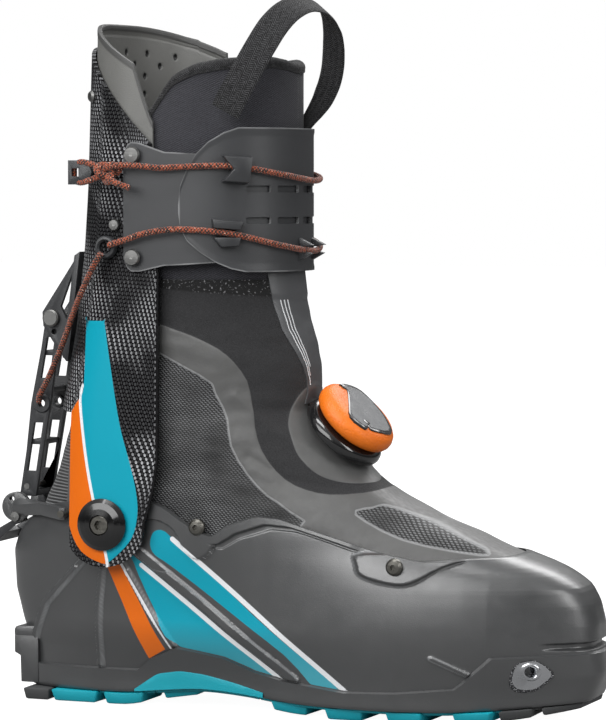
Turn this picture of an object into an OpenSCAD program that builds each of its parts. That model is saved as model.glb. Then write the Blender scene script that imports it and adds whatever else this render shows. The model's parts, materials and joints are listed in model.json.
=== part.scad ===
// Alpine touring boot, right foot. +X points to the toe, +Y to the inner side
// of the foot and +Z up. The origin is under the middle of the boot's box.

/* [Sole and shell] */
// Length of the sole from heel to toe
sole_len = 299; // [295:1:303]
// Height of the rubber lugs
lug_h = 4.5; // [4:0.1:5]
// Thickness of the lower shell's wall
shell_wall = 3; // [2.6:0.1:3.2]

/* [Ankle] */
// Distance of the ankle axis ahead of the heel
ankle_x = 55; // [54:0.5:56]
// Height of the ankle axis above the ground
ankle_z = 93; // [92:0.5:94]
// Radius of the pivot bolt's shank
pivot_r = 6; // [5:0.1:6.4]

/* [Cuff] */
// Height of the cuff's top edge at the back
cuff_top = 334; // [330:1:338]
// Thickness of the cuff's wall
cuff_wall = 2; // [1.6:0.1:2.2]
// Height of the front bands' top edge
band_top = 290; // [287:1:292]
// Height of the front bands' bottom edge
band_bottom = 219; // [218:1:223]

/* [Closures] */
// Radius of the lace dial's knob
dial_r = 21; // [18:0.5:21]
// Diameter of the closing cord
cord_d = 3; // [2.4:0.1:3.2]
// Width of the pull strap
strap_w = 17; // [14:0.5:18]
// Running clearance of every bore on its pin
fit = 0.05; // [0.02:0.01:0.08]

/* [Hidden] */
$fn = 48;

// The box of the whole boot, for the origin
tail_x = -24;
mid_x = (sole_len + tail_x) / 2;

// Outline of the foot: height, then the rearmost and the foremost point there
rear_x = [[6, 1], [12, 0], [28, -1], [38, -6], [55, -11], [75, -12], [85, -8.5], [95, -3], [106, 1.5],
    [118, 6], [150, 16], [165, 20.5], [185, 24], [220, 28.5]];
front_x = [[6, sole_len - 6], [12, sole_len - 3], [21, sole_len], [48, sole_len - 2],
    [58, sole_len - 4.5], [66, sole_len - 9], [72, sole_len - 18], [76, sole_len - 27], [80, sole_len - 39],
    [84, sole_len - 49], [88, 242], [96, 221], [108, 198], [118, 184], [125, 178.5], [137, 166.5],
    [149, 154.5], [156, 154.5], [171, 154.5], [204, 147], [220, 145]];
// Half widths along the foot at the sole, at the widest level and at the ankle
sole_w = [[0, 33], [40, 33], [75, 31], [115, 31], [160, 40], [205, 47], [242, 43], [268, 35], [299, 31]];
wide_w = [[-12, 37], [40, 41], [110, 41], [160, 46], [205, 51], [250, 49], [299, 37]];
high_w = [[-12, 43], [55, 45], [110, 44.8], [160, 44.5], [205, 46], [260, 46]];
// Height of the sole's tread line along the foot
tread_z = [[0, 0], [60, 0], [75, 3], [100, 7], [125, 5], [150, 1], [170, 0], [230, 0], [262, 3], [299, 9]];
// Height of the shell's rim along the foot
rim_z = [[-12, 79], [-8, 80], [-2, 90], [4, 98], [20, 101], [50, 106], [78, 105], [92, 104], [99, 101],
    [106, 94], [114, 88], [130, 94], [154, 99], [167, 98], [178, 92], [192, 84], [206, 79], [230, 80],
    [256, 80.5]];

// How far each layer's outer face lies inside the shell's outer face
gaiter_in = shell_wall + 1.5;
gaiter_wall = 1.5;
liner_in = gaiter_in + gaiter_wall + 3;
liner_wall = 5;
shell_floor = 15;
board_h = 3;
liner_floor = 20;
stretch_top = 210;
liner_split = 214;

// Cuff outline: height and value
cuff_back = [[72, 14], [148, 17], [160, 19], [190, 24], [229, 28], [260, 29.5], [cuff_top, 31.5]];
cuff_half = [[72, 48.5], [130, 48.5], [180, 47.5], [220, 46.5], [340, 45.5]];
cuff_front = [[72, ankle_x + 22], [93, ankle_x + 22], [110, 82], [125, 84.5], [217, 84.5], [283, 80]];
cuff_depth = 36;
lobe_r = 21.5;
cuff_low = 148;

// Liner and bands around the shin
shin_x0 = 36.5;
shin_x1 = 141.4;
shin_w = 41.2;
band_cx = 88;
band_half = 50.6;
band_front = 146;

// Ankle hardware, as distances from the middle plane
boss_y = 45.2;
cuff_y = 48.5;
nut_r = 10;
stem_r = 4;
bush_wall = 2;
bush_flange = 9.2;
washer_r = 13;

// Lever, bracket, yoke and catch
lever_x = 12;
lever_z = 194;
lever_foot_x = -3;
lever_foot_z = 102;
rail_in = 9;
rail_out = 11.4;
bracket_in = 12;
bracket_out = 14.4;
lever_bolt_r = 2.5;
ear_x = -7;
ear_z = 97;
catch_z = 92;
ear_in = 15.4;
ear_out = 19;
arm_in = 12;
arm_out = 13.4;
rivet_r = 2;

// Pin sockets at the toe
toe_pin_x = 268;
toe_pin_z = 26.8;
toe_pin_y = 27.7;

// Dial seat on the instep
dial_at = [164.8, -3, 137.2];
dial_tilt = 43.5;
dial_turn_out = -10.3;

// Hand-set routes of the cord around the bands, as angle round the shin and height
upper_run = [[-92, 270], [-60, 271], [-30, 267], [0, 264], [30, 266], [60, 269], [92, 269]];
lower_run = [[92, 235], [60, 236], [30, 232], [0, 229], [-30, 232], [-60, 238], [-84, 240]];
lower_end = [[80, -53.2, 238], [70, -52.7, 235], [60, -52.3, 232]];
lever_run = [[56, -52.3, 228], [50, -50, 220], [38, -41, 203], [25, -30, 182], [13, -21, 164],
    [6, -16.4, 155], [4, -13.6, 151]];

function mix(a, b, f) = a + (b - a) * f;
function clamp(v, lo, hi) = min(max(v, lo), hi);
function ease(f) = let (c = clamp(f, 0, 1)) c * c * (3 - 2 * c);
function soft(v, table, reach) =
    (lookup(v - reach, table) + 2 * lookup(v, table) + lookup(v + reach, table)) / 4;
function unit(v) = v / norm(v);
function reversed(list) = [for (i = [len(list) - 1:-1:0]) list[i]];

// Half width of the foot at x and z
function foot_w(x, z) = z < 45
    ? mix(soft(x, sole_w, 12), soft(x, wide_w, 12), ease((z - 8) / 37))
    : mix(soft(x, wide_w, 12), soft(x, high_w, 12), ease((z - 45) / 45));
// How square the section is at a height: 0.4 is boxy and 1 is an ellipse
function corner(z) = lookup(z, [[6, 0.42], [45, 0.55], [90, 0.66], [120, 0.82], [160, 0.95]]);
// The toes lean to the inner side of the foot
function drift(x) = 6 * ease((x - 110) / 180);
// The sole's rocker lifts the toe and the arch
function rocker(x, z) = soft(x, tread_z, 8) * 0.62 * (1 - ease((z - 10) / 26));

// Point on the foot's surface at height z and angle t, moved in by d
function foot_point(z, t, d) =
    let (
        x0 = soft(z, rear_x, 2) + d,
        x1 = soft(z, front_x, 2) - d,
        x = (x0 + x1) / 2 + (x1 - x0) / 2 * cos(t),
        w = foot_w(x, z) - d
    )
    [x, drift(x) + w * sign(sin(t)) * pow(abs(sin(t)), corner(z)), z + rocker(x, z)];
// Distance of the foot's side from the middle plane at x and z
function side_y(x, z) =
    let (
        x0 = soft(z, rear_x, 2),
        x1 = soft(z, front_x, 2),
        c = clamp((2 * x - x0 - x1) / (x1 - x0), -1, 1)
    )
    foot_w(x, z) * pow(sqrt(1 - c * c), corner(z));
// How far the liner tucks in between the toe fittings
function toe_tuck(x, z) = 5 * ease((x - 235) / 25) * (1 - ease((z - 32) / 14));
// Slanted plane between the fixed and the stretching soft parts
function soft_split(x) = clamp(82 + 0.53 * x, 80, 160);

// Oval ring around the shin at height z, moved in by d
function shin_point(z, t, d) =
    let (c = cos(t), s = sin(t), m = (shin_x0 + shin_x1) / 2, h = (shin_x1 - shin_x0) / 2 - d)
    [m + h * c, (shin_w - d) * sign(s) * pow(abs(s), 0.9), z];

// Points on the cuff: s runs from 1 at the inner front edge over 0 at the back to -1
function cuff_point(s, z, d) =
    let (
        b = lookup(z, cuff_half) - d,
        x0 = soft(z, cuff_back, 6) + d,
        arc = x0 + (cuff_depth - d) * (1 - cos(min(abs(s), 0.5) * 180)),
        x = abs(s) <= 0.5 ? arc : mix(x0 + cuff_depth - d, lookup(z, cuff_front), abs(s) * 2 - 1)
    )
    [x, b * sign(s) * sin(min(abs(s), 0.5) * 180), z];
function cuff_top_z(s) = cuff_top - 1.06 * (cuff_point(s, 300, 0).x - 31);
function cuff_low_z(s) =
    let (x = cuff_point(s, ankle_z, 0).x)
    x < 33.8 ? cuff_low
        : x < 36.5 ? mix(cuff_low, ankle_z - 9, (x - 33.8) / 2.7)
        : ankle_z - sqrt(max(0, lobe_r * lobe_r - pow(x - ankle_x, 2)));

// Point on the front bands at angle a round the shin, moved in by d
function band_point(a, z, d) = abs(a) <= 90
    ? [band_cx + (band_front - band_cx - d) * pow(cos(a), 0.85), (band_half - d) * sin(a), z]
    : [band_cx - (abs(a) - 90) * 0.6, (band_half - d) * sign(a), z];

// Faces of a surface whose rows each hold n points; loop joins the last row to the first
function strip(rows, n, loop, wrap) = [
    for (i = [0:rows - (loop ? 1 : 2)])
        for (j = [0:n - (wrap ? 1 : 2)])
            let (
                a = i * n + j,
                b = i * n + (j + 1) % n,
                c = ((i + 1) % rows) * n + (j + 1) % n,
                d = ((i + 1) % rows) * n + j
            )
            each [[a, d, c], [a, c, b]]
];
// Cap of a ring that starts at point k, as a ladder between its two sides
function ladder(k, n, up) = [
    for (f = concat(
        [[0, 1, n - 1], [n / 2 - 1, n / 2, n / 2 + 1]],
        [for (j = [1:n / 2 - 2]) each [[j, j + 1, n - j - 1], [j, n - j - 1, n - j]]]
    ))
        [for (p = up ? reversed(f) : f) k + p]
];

// Solid through closed rings, capped at both ends
module loft(rings) {
    n = len(rings[0]);
    polyhedron(
        [for (r = rings) each r],
        concat(
            strip(len(rings), n, false, true),
            ladder(0, n, false),
            ladder((len(rings) - 1) * n, n, true)
        ),
        convexity = 6
    );
}

// Open sleeve between an outer and an inner stack of closed rings
module sleeve(outer, inner) {
    rows = concat(outer, reversed(inner));
    polyhedron([for (r = rows) each r], strip(len(rows), len(rows[0]), true, true), convexity = 8);
}

// Curved sheet between an outer and an inner grid of points
module sheet(outer, inner) {
    rows = concat(outer, reversed(inner));
    m = len(rows);
    n = len(rows[0]);
    left = [for (i = [0:m / 2 - 2]) each [
        [i * n, (m - 1 - i) * n, (i + 1) * n], [(i + 1) * n, (m - 1 - i) * n, (m - 2 - i) * n]]];
    right = [for (f = left) [for (p = reversed(f)) p + n - 1]];
    polyhedron([for (r = rows) each r], concat(strip(m, n, true, false), left, right), convexity = 8);
}

// Smooth curve through points, with k steps on each span
function curve(p, k) = concat(
    [for (i = [0:len(p) - 2], j = [0:k - 1])
        let (
            a = p[max(i - 1, 0)], b = p[i], c = p[i + 1], d = p[min(i + 2, len(p) - 1)], f = j / k
        )
        (2 * b + (c - a) * f + (2 * a - 5 * b + 4 * c - d) * pow(f, 2)
            + (3 * b - a - 3 * c + d) * pow(f, 3)) / 2],
    [p[len(p) - 1]]
);
function heading(p, i) = unit(p[min(i + 1, len(p) - 1)] - p[max(i - 1, 0)]);
function square_to(u, t) = unit(u - t * (u * t));

// Round tube along a path
module tube(path, r, sides) {
    start = square_to([0.1, 0.3, 1], heading(path, 0));
    sides_of = [for (
        i = 0, u = start;
        i < len(path);
        i = i + 1, u = square_to(u, heading(path, min(i, len(path) - 1)))
    ) u];
    loft([for (i = [0:len(path) - 1])
        let (u = sides_of[i], v = cross(heading(path, i), u))
        [for (j = [0:sides - 1]) path[i] + r * (u * cos(360 * j / sides) + v * sin(360 * j / sides))]
    ]);
}

module place() {
    translate([-mid_x, 0, 0]) children();
}
module both_sides() {
    children();
    mirror([0, 1, 0]) children();
}
// Cylinder along +Y from y0 to y1
module rod(x, z, y0, y1, r, r2 = -1) {
    translate([x, y0, z]) rotate([-90, 0, 0]) cylinder(h = y1 - y0, r1 = r, r2 = r2 < 0 ? r : r2);
}
// Turned part along +Y: the profile holds [radius, y] points
module turned(x, z, profile) {
    translate([x, 0, z]) rotate([-90, 0, 0]) rotate_extrude() polygon(profile);
}
// Plate in the X-Z plane between y0 and y1
module plate(y0, y1) {
    translate([0, y1, 0]) rotate([90, 0, 0]) linear_extrude(y1 - y0) children();
}
// Keeps curved sheet work in one mesh
module one_mesh() {
    resize([0, 0, 0]) children();
}

// Lower shell: a moulded cup from the sole to the rim
module lower_shell() {
    n = 64;
    steps = [0, 0.07, 0.16, 0.27, 0.4, 0.53, 0.66, 0.76, 0.84, 0.91, 0.96, 1];
    function rim(t) = soft(foot_point(84, t, 0).x, rim_z, 2);
    outer = [for (f = steps) [for (i = [0:n - 1])
        let (t = 360 * i / n) foot_point(mix(12, rim(t), f), t, f == 0 ? 1.2 : 0)]];
    inner = [for (f = reversed(steps)) [for (i = [0:n - 1])
        let (t = 360 * i / n) foot_point(mix(shell_floor, rim(t) - 0.4, f), t, shell_wall)]];
    color("dimgray") place() one_mesh() difference() {
        union() {
            loft(concat(outer, inner));
            both_sides() rod(ankle_x, ankle_z, 40.6, boss_y, 11);
        }
        both_sides() rod(ankle_x, ankle_z, 30, 50, nut_r - 3);
        both_sides() rod(ankle_x, ankle_z, 30, 41.6, nut_r + 0.2);
        translate([-8, 0, 22]) rotate([0, 90, 0]) cylinder(h = 14, r = 2.6);
        translate([0, drift(toe_pin_x), 0]) both_sides() {
            rod(toe_pin_x, toe_pin_z, toe_pin_y, toe_pin_y + 20, 7);
            rod(toe_pin_x, toe_pin_z, toe_pin_y - 5, toe_pin_y + 1, 2.6);
        }
    }
}

// Stiff plate and welt under the shell
module sole_plate() {
    n = 64;
    function level(z, d) = [for (i = [0:n - 1]) foot_point(z, 360 * i / n, d)];
    color("#3f4143") place() loft([level(6.2, 2.5), level(7, 0), level(11.7, 0)]);
}

// One lug: a tapered block from the tread line up to the sole plate
module lug(x0, x1, y0, y1, skew) {
    z0 = soft((x0 + x1) / 2, tread_z, 4);
    top = z0 * 0.62 + 6;
    translate([0, 0, z0]) linear_extrude(top - z0 - 0.1)
        polygon([[x0, y0], [x1, y0], [x1 + skew, y1], [x0 + skew, y1]]);
}
module heel_rubber() {
    color("#14b4c4") place() {
        both_sides() {
            lug(3, 20, 6, 31, 0);
            for (x = [24, 41]) lug(x, x + 13, 7, 31, -3);
            lug(58, 70, 10, 29, -3);
        }
        translate([0, 0, lug_h]) linear_extrude(1.4) offset(3) offset(-3)
            polygon([[3, -31], [68, -29], [68, 29], [3, 31]]);
    }
}
module arch_rubber() {
    color("#14b4c4") place() for (x = [78, 93, 108]) lug(x, x + 10, -26, 26, 0);
}
module forefoot_rubber() {
    color("#14b4c4") place() {
        for (x = [134, 155, 176, 197, 218, 239]) {
            reach = soft(x, sole_w, 12) - 4;
            lug(x, x + 13, 6 + drift(x), reach + drift(x), -4);
            lug(x, x + 13, drift(x) - reach, drift(x) - 6, 4);
        }
        translate([0, 0, lug_h]) linear_extrude(1.4)
            polygon([[150, -33], [200, -39], [238, -38], [238, 46], [200, 47], [150, 37]]);
    }
}
module toe_rubber() {
    color("#77797b") place() for (y = [-28, -9, 10, 29]) lug(259, 268, y, y + 15, 0);
    color("#77797b") place() for (y = [-24, -6, 12, 30]) lug(273, sole_len - 9, y, y + 12, 0);
}

// Steel toe fittings: a cone-mouthed pin socket in a fan-shaped plate
module toe_insert() {
    color("silver") difference() {
        union() {
            rod(toe_pin_x, toe_pin_z, toe_pin_y - 5.5, toe_pin_y + 3.2, 5.4);
            plate(toe_pin_y - 2, toe_pin_y) polygon([[toe_pin_x - 8, 20], [toe_pin_x + 8, 20],
                [toe_pin_x + 14, 34], [toe_pin_x - 12, 34]]);
        }
        rod(toe_pin_x, toe_pin_z, toe_pin_y - 4.8, toe_pin_y - 4, 1.3, 2.1);
        rod(toe_pin_x, toe_pin_z, toe_pin_y - 4, toe_pin_y + 4, 2.1);
        rod(toe_pin_x, toe_pin_z, toe_pin_y + 1.2, toe_pin_y + 3.3, 2.1, 4.2);
    }
}
module toe_insert_medial() {
    place() translate([0, drift(toe_pin_x), 0]) toe_insert();
}
module toe_insert_lateral() {
    place() translate([0, drift(toe_pin_x), 0]) mirror([0, 1, 0]) toe_insert();
}

// Steel heel fitting with two pin slots and its screw
module heel_insert() {
    color("silver") place() difference() {
        translate([-3.6, -17, 14]) cube([3.2, 34, 16]);
        both_sides() translate([-5, 10, 14.9]) cube([3.6, 2.8, 14.2]);
        translate([-5, 0, 22]) rotate([0, 90, 0]) cylinder(h = 6, r = 2.6);
    }
}
module heel_insert_screw() {
    color("gray") place() translate([-5.4, 0, 22]) rotate([0, 90, 0]) difference() {
        union() {
            cylinder(h = 1.7, r1 = 3.6, r2 = 4.4);
            translate([0, 0, 1.7]) cylinder(h = 10, r = 2.55);
        }
        translate([0, 0, -0.1]) cylinder(h = 1.3, r = 1.6, $fn = 6);
    }
}

// Board on the shell's floor and the soft footbed in the liner
module footboard() {
    n = 48;
    function level(z) = [for (i = [0:n - 1]) foot_point(z, 360 * i / n, shell_wall + 2.5)];
    color("gold") place() loft([level(shell_floor + 0.6), level(shell_floor + board_h)]);
}
module footbed() {
    n = 48;
    edge = liner_in + liner_wall + 1.5;
    function level(z) = [for (i = [0:n - 1])
        let (t = 360 * i / n) foot_point(z, t, edge + toe_tuck(foot_point(z, t, edge).x, z))];
    color("teal") place() loft([level(liner_floor + liner_wall + 0.2), level(liner_floor + liner_wall + 3)]);
}

// Soft sleeve round the ankle between two height rules, from d to d + wall inside the foot
module foot_sleeve(low, high, d, wall, rows) {
    n = 40;
    function level(f, e) = [for (i = [0:n - 1])
        let (t = 360 * i / n, x = foot_point(90, t, e).x)
        foot_point(mix(low == 0 ? 62 : soft_split(x) + 1.5, high == 0 ? soft_split(x) : high, f), t, e)];
    sleeve([for (i = [0:rows]) level(i / rows, d)], [for (i = [0:rows]) level(i / rows, d + wall)]);
}
module gaiter_lower() {
    color("#2b2c2e") place() foot_sleeve(0, 0, gaiter_in, gaiter_wall, 8);
}
module gaiter_stretch() {
    color("#1b1b1d") place() foot_sleeve(1, stretch_top, gaiter_in, gaiter_wall, 8);
}
module liner_ankle() {
    color("#202022") place() foot_sleeve(1, stretch_top, liner_in, liner_wall, 6);
}
module liner_foot() {
    n = 48;
    steps = [0, 0.08, 0.2, 0.34, 0.48, 0.62, 0.74, 0.84, 0.92, 1];
    function level(z0, d, f) = [for (i = [0:n - 1])
        let (
            t = 360 * i / n,
            x = foot_point(90, t, d).x,
            z = mix(z0, min(soft_split(x), x > 240 ? 78 : 160) - 3 * ease((x - 150) / 60), f)
        )
        foot_point(z, t, d + toe_tuck(foot_point(z, t, d).x, z))];
    color("#202022") place() loft(concat(
        [for (f = steps) level(liner_floor, liner_in, f)],
        [for (f = reversed(steps)) level(liner_floor + liner_wall, liner_in + liner_wall, f)]
    ));
}

// Upper liner, with its bound top edge
function binding_z(x) = soft(x, [[36, 284], [66, 286], [73, 298], [82, 314], [95, 321], [145, 321]], 3);
module liner_cuff() {
    n = 48;
    function level(f, d) = [for (i = [0:n - 1])
        let (p = shin_point(0, 360 * i / n, d)) [p.x, p.y, mix(liner_split, binding_z(p.x) - 5, f)]];
    color("#1d1d1f") place() sleeve(
        [for (i = [0:6]) level(i / 6, 0)], [for (i = [0:6]) level(i / 6, 7)]);
}
module liner_binding() {
    n = 48;
    function level(h, d) = [for (i = [0:n - 1])
        let (p = shin_point(0, 360 * i / n, d)) [p.x, p.y, binding_z(p.x) - 4.8 + h]];
    color("black") place() sleeve([level(0, -0.2), level(4.2, 0)], [level(0, 7.4), level(4.2, 7)]);
}

// Screws that clamp the gaiter's edge to the shell
gaiter_screw_at = [[104, 93], [206, 77]];
module gaiter_screws() {
    color("#222222") place() both_sides() for (p = gaiter_screw_at) {
        y = side_y(p.x, p.y) + 0.2 * drift(p.x);
        difference() {
            turned(p.x, p.y, [[0, y - 2.5], [1.9, y - 2.5], [1.9, y], [4.3, y], [4.1, y + 1.4],
                [3, y + 2.5], [0, y + 2.9]]);
            rod(p.x, p.y, y + 1.2, y + 4, 1.5, $fn = 6);
        }
    }
}

// Thin steel lace that the dial winds, over the instep between gaiter and liner, as height and angle
lace_run = [[134, -16], [124, -20], [116, -24], [110, -22], [105, -10], [104, 0], [105, 10], [110, 22],
    [116, 24], [124, 20], [134, 16]];
module lace_cable() {
    deep = gaiter_in + gaiter_wall + 1.05;
    color("#555555") place() tube(curve([for (p = lace_run) foot_point(p[0], p[1], deep)], 4), 0.45, 8);
}

// Lace dial: base, spool, pull-out hub, knob and insert, stacked along the dial axis
module on_dial() {
    place() translate(dial_at) rotate([0, 0, dial_turn_out]) rotate([0, dial_tilt, 0]) children();
}
module dial_base() {
    color("#1a1a1a") on_dial() rotate_extrude()
        polygon([[3, 0], [19, 0], [20, 1.5], [20, 3], [17.6, 6], [15, 6], [15, 2], [3, 2]]);
}
module dial_spool() {
    color("white") on_dial() translate([0, 0, 2.1]) rotate_extrude()
        polygon([[4, 0], [13, 0], [13, 0.8], [9, 1.2], [9, 2.8], [13, 3.2], [13, 4], [4, 4]]);
}
module dial_hub() {
    color("#333333") on_dial() rotate_extrude()
        polygon([[0, 6.4], [14, 6.4], [14, 7.4], [6, 7.4], [6, 15], [0, 15]]);
}
module dial_knob() {
    notch = 13;
    color("darkorange") on_dial() difference() {
        rotate_extrude() polygon([[6 + fit, 7.8], [dial_r - 2.5, 7.6], [dial_r, 9.6], [dial_r, 13.4],
            [dial_r - 2, 16.6], [dial_r - 5, 17.2], [6 + fit, 15.6]]);
        translate([0, 0, 13]) linear_extrude(6) polygon([[-notch, -7.5], [notch - 3, -7.5], [notch, -4],
            [notch, 7.5], [3 - notch, 7.5], [-notch, 4]]);
    }
}
module dial_insert() {
    reach = 12.7;
    color("#2d2e30") on_dial() translate([0, 0, 15.1]) linear_extrude(1.8) polygon([[-reach, -7.2],
        [reach - 3, -7.2], [reach, -3.9], [reach, 7.2], [3 - reach, 7.2], [-reach, 3.9]]);
}

// Ankle pivots
module pivot_nuts() {
    color("silver") place() both_sides() turned(ankle_x, ankle_z, [[stem_r, 40.7], [nut_r, 40.7],
        [nut_r, 41.5], [nut_r - 3.1, 41.5], [nut_r - 3.1, 44.9], [stem_r, 44.9]]);
}
module pivot_bolts() {
    star = 2.6;
    color("#4a4a4c") place() both_sides() difference() {
        turned(ankle_x, ankle_z, [[0, 40.8], [stem_r - 0.02, 40.8], [stem_r - 0.02, 45], [pivot_r, 45],
            [pivot_r, 50], [5, 50], [5, 53.4], [4.4, 54], [0, 54]]);
        rod(ankle_x, ankle_z, 51.5, 55, star, $fn = 6);
    }
}
module pivot_washers() {
    color("black") place() both_sides() turned(ankle_x, ankle_z, [[5.1, 50.1], [washer_r, 50.1],
        [washer_r, 50.8], [11, 52.3], [8, 53.5], [5.1, 54]]);
}
module cuff_bushings() {
    color("ivory") place() both_sides() turned(ankle_x, ankle_z, [[pivot_r + fit, boss_y + 0.15],
        [bush_flange, boss_y + 0.15], [bush_flange, cuff_y - cuff_wall - 0.8],
        [pivot_r + bush_wall, cuff_y - cuff_wall - 0.8], [pivot_r + bush_wall, cuff_y + 1.2],
        [pivot_r + fit, cuff_y + 1.2]]);
}

// Yoke at the back of the shell's collar, with an ear on each side of the lever
module heel_yoke() {
    color("#3a3b3d") place() both_sides() difference() {
        union() {
            rod(ear_x, ear_z, ear_in, ear_out, 7.5);
            hull() {
                rod(ear_x + 3, ear_z, ear_in, ear_out, 4.5, $fn = 32);
                translate([12, 28, 94.5]) cube([3, 2.4, 6]);
            }
            hull() {
                translate([12, 28, 94.5]) cube([3, 2.4, 6]);
                translate([27, 37.6, 93.5]) cube([3, 2.4, 6]);
            }
        }
        rod(ear_x, catch_z, ear_in - 1, ear_out + 1, rivet_r - 0.02);
        rod(ear_x - 2, ear_z + 4, ear_in - 1, ear_out + 1, 1.4);
    }
}
module yoke_screws() {
    color("#222222") place() both_sides() rod(28.5, 96.5, 34, 41.6, 1.8);
}
module catch_rivets() {
    color("silver") place() both_sides() turned(ear_x, catch_z, [[0, arm_in - 0.2], [rivet_r, arm_in - 0.2],
        [rivet_r, ear_out], [3, ear_out], [2.4, ear_out + 1.2], [0, ear_out + 1.4]]);
}
module catch_springs() {
    color("silver") place() both_sides() for (y = [arm_out + 0.55, arm_out + 1.45])
        translate([ear_x, y, catch_z]) rotate([-90, 0, 0]) rotate_extrude() translate([3, 0]) circle(r = 0.4);
}
// Sprung catch: two arms on the rivets, a hook above and a thumb tail behind the heel
module heel_catch() {
    color("#2b2b2d") place() {
        both_sides() plate(arm_in, arm_out) difference() {
            polygon([[ear_x - 2, 98], [ear_x - 3.4, 90], [tail_x + 3, 84], [tail_x + 0.4, 78.5],
                [tail_x + 4, 78.5], [ear_x - 3, 87], [ear_x + 3.6, 89.5], [ear_x + 3.2, 98],
                [ear_x + 0.5, 103.5], [ear_x - 1, 103.5]]);
            translate([ear_x, catch_z]) circle(r = rivet_r + fit);
        }
        plate(-arm_out, arm_out) polygon([[tail_x + 3, 84], [tail_x, 79], [tail_x, 77.5], [tail_x + 3, 77.5],
            [tail_x + 6, 82.4]]);
    }
}

// Cuff: a carbon shell from the ankle lobes up to the slanted rim
cuff_s = [0, 0.08, 0.16, 0.24, 0.31, 0.35, 0.365, 0.38, 0.42, 0.5, 0.58, 0.66, 0.74, 0.82, 0.9, 0.96, 1];
cuff_span = concat(reversed(cuff_s), [for (i = [1:len(cuff_s) - 1]) -cuff_s[i]]);
module cuff_shell() {
    rows = 14;
    function grid(d) = [for (i = [0:rows]) [for (s = cuff_span)
        cuff_point(s, mix(cuff_low_z(s), cuff_top_z(s), i / rows), d)]];
    color("#26262a") place() one_mesh() difference() {
        sheet(grid(0), grid(cuff_wall));
        both_sides() rod(ankle_x, ankle_z, 40, 52, pivot_r + bush_wall + 0.02);
    }
}
module spoiler() {
    span = [for (i = [-14:14]) -i / 14];
    rows = 4;
    function top_z(s) = lookup(s, [[-1, 292], [-0.75, 306], [-0.5, 322], [-0.25, 337], [0, 344], [0.5, 340],
        [1, 330]]);
    function grid(d) = [for (i = [0:rows]) [for (s = span)
        let (z = mix(276, top_z(s), i / rows)) cuff_point(s, z, d)]];
    color("#707274") place() sheet(grid(cuff_wall + 0.8), grid(cuff_wall + 2.3));
}
module spoiler_rivets() {
    color("#555555") place() for (s = [-0.28, 0.28]) {
        p = cuff_point(s, 306, 0);
        translate(p) rotate([0, 0, s < 0 ? -130 : 130]) rotate([0, 90, 0]) union() {
            translate([0, 0, -5]) cylinder(h = 5.2, r = 1.5);
            translate([0, 0, 0.2]) cylinder(h = 1, r1 = 3, r2 = 2.2);
        }
    }
}

// Front bands: the inner one starts on the outer side, the outer one on the inner side
module band(a0, a1, d, wall, z0, z1) {
    cols = 28;
    rows = 4;
    function grid(e) = [for (i = [0:rows]) [for (j = [0:cols])
        let (a = mix(a0, a1, j / cols)) band_point(a, mix(lookup(a, z0), lookup(a, z1), i / rows), e)]];
    sheet(grid(d), grid(d + wall));
}
module inner_band() {
    color("#55575a") place() band(-126, 60, 2.2, 1.5,
        [[-126, 222], [-120, 219], [-90, 222], [-60, 224], [60, 224]],
        [[-126, 279], [-120, 283], [-90, 278], [-60, 276], [60, 276]]);
}
module outer_band() {
    color("#66686b") place() band(-78, 126, 0.2, 1.6,
        [[-78, 236], [-74, 227], [-66, 220.5], [-50, band_bottom], [126, band_bottom]],
        [[-78, 272], [-74, 281], [-66, 287], [-50, band_top], [90, band_top], [126, 284]]);
}
module band_rivets() {
    color("silver") place() both_sides() for (z = [226, 276.5])
        turned(72, z, [[0, 44.4], [2.2, 44.4], [2.2, band_half + 0.1], [4.2, band_half + 0.1],
            [3.6, band_half + 1.3], [0, band_half + 1.6]]);
}

// Hooks that carry the cord over the bands, set square to the band
module on_band(a, z) {
    p = band_point(a, z, 0);
    q = band_point(a + 1, z, 0) - band_point(a - 1, z, 0);
    translate(p) rotate([0, 0, atan2(q.y, q.x)]) children();
}
module hook(len, tall) {
    translate([-len / 2, -0.6, -tall / 2]) cube([len, 0.7, tall]);
    translate([-len / 2, -5.6, tall / 2 - 1.8]) cube([len, 5.6, 1.8]);
    translate([-len / 2, -5.6, -tall / 2]) cube([len, 1, tall]);
}
module band_cord_hooks() {
    color("#3c3d40") place() {
        on_band(-56, 271) hook(10, 12);
        on_band(-60, 238) hook(10, 12);
        on_band(60, 269) hook(10, 12);
        on_band(60, 236) hook(10, 12);
    }
}
module edge_cord_hooks() {
    color("#303133") place() {
        on_band(-9, 231.3) hook(6, 4);
        on_band(9, 231.3) hook(6, 4);
    }
}

// Height of the cord's middle over the bands
cord_lift = 2.9;
cord_out = band_half + cord_lift + cord_d / 2;
function on_run(run) = [for (p = run) band_point(p[0], p[1], -cord_lift)];
module cord_upper() {
    color("#c4532a") place() tube(curve(on_run(upper_run), 5), cord_d / 2, 8);
}
module cord_lower() {
    color("#c4532a") place() tube(curve(concat(on_run(lower_run), lower_end), 3), cord_d / 2, 8);
}
module cord_knot() {
    knot_r = 5;
    flat = 0.72;
    color("#c4532a") place() translate([62, knot_r * flat - cord_out, 269])
        scale([1.5, flat, 1]) sphere(r = knot_r);
}
module lever_cord() {
    color("#c4532a") place() tube(curve(lever_run, 3), cord_d / 2, 8);
}
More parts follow.
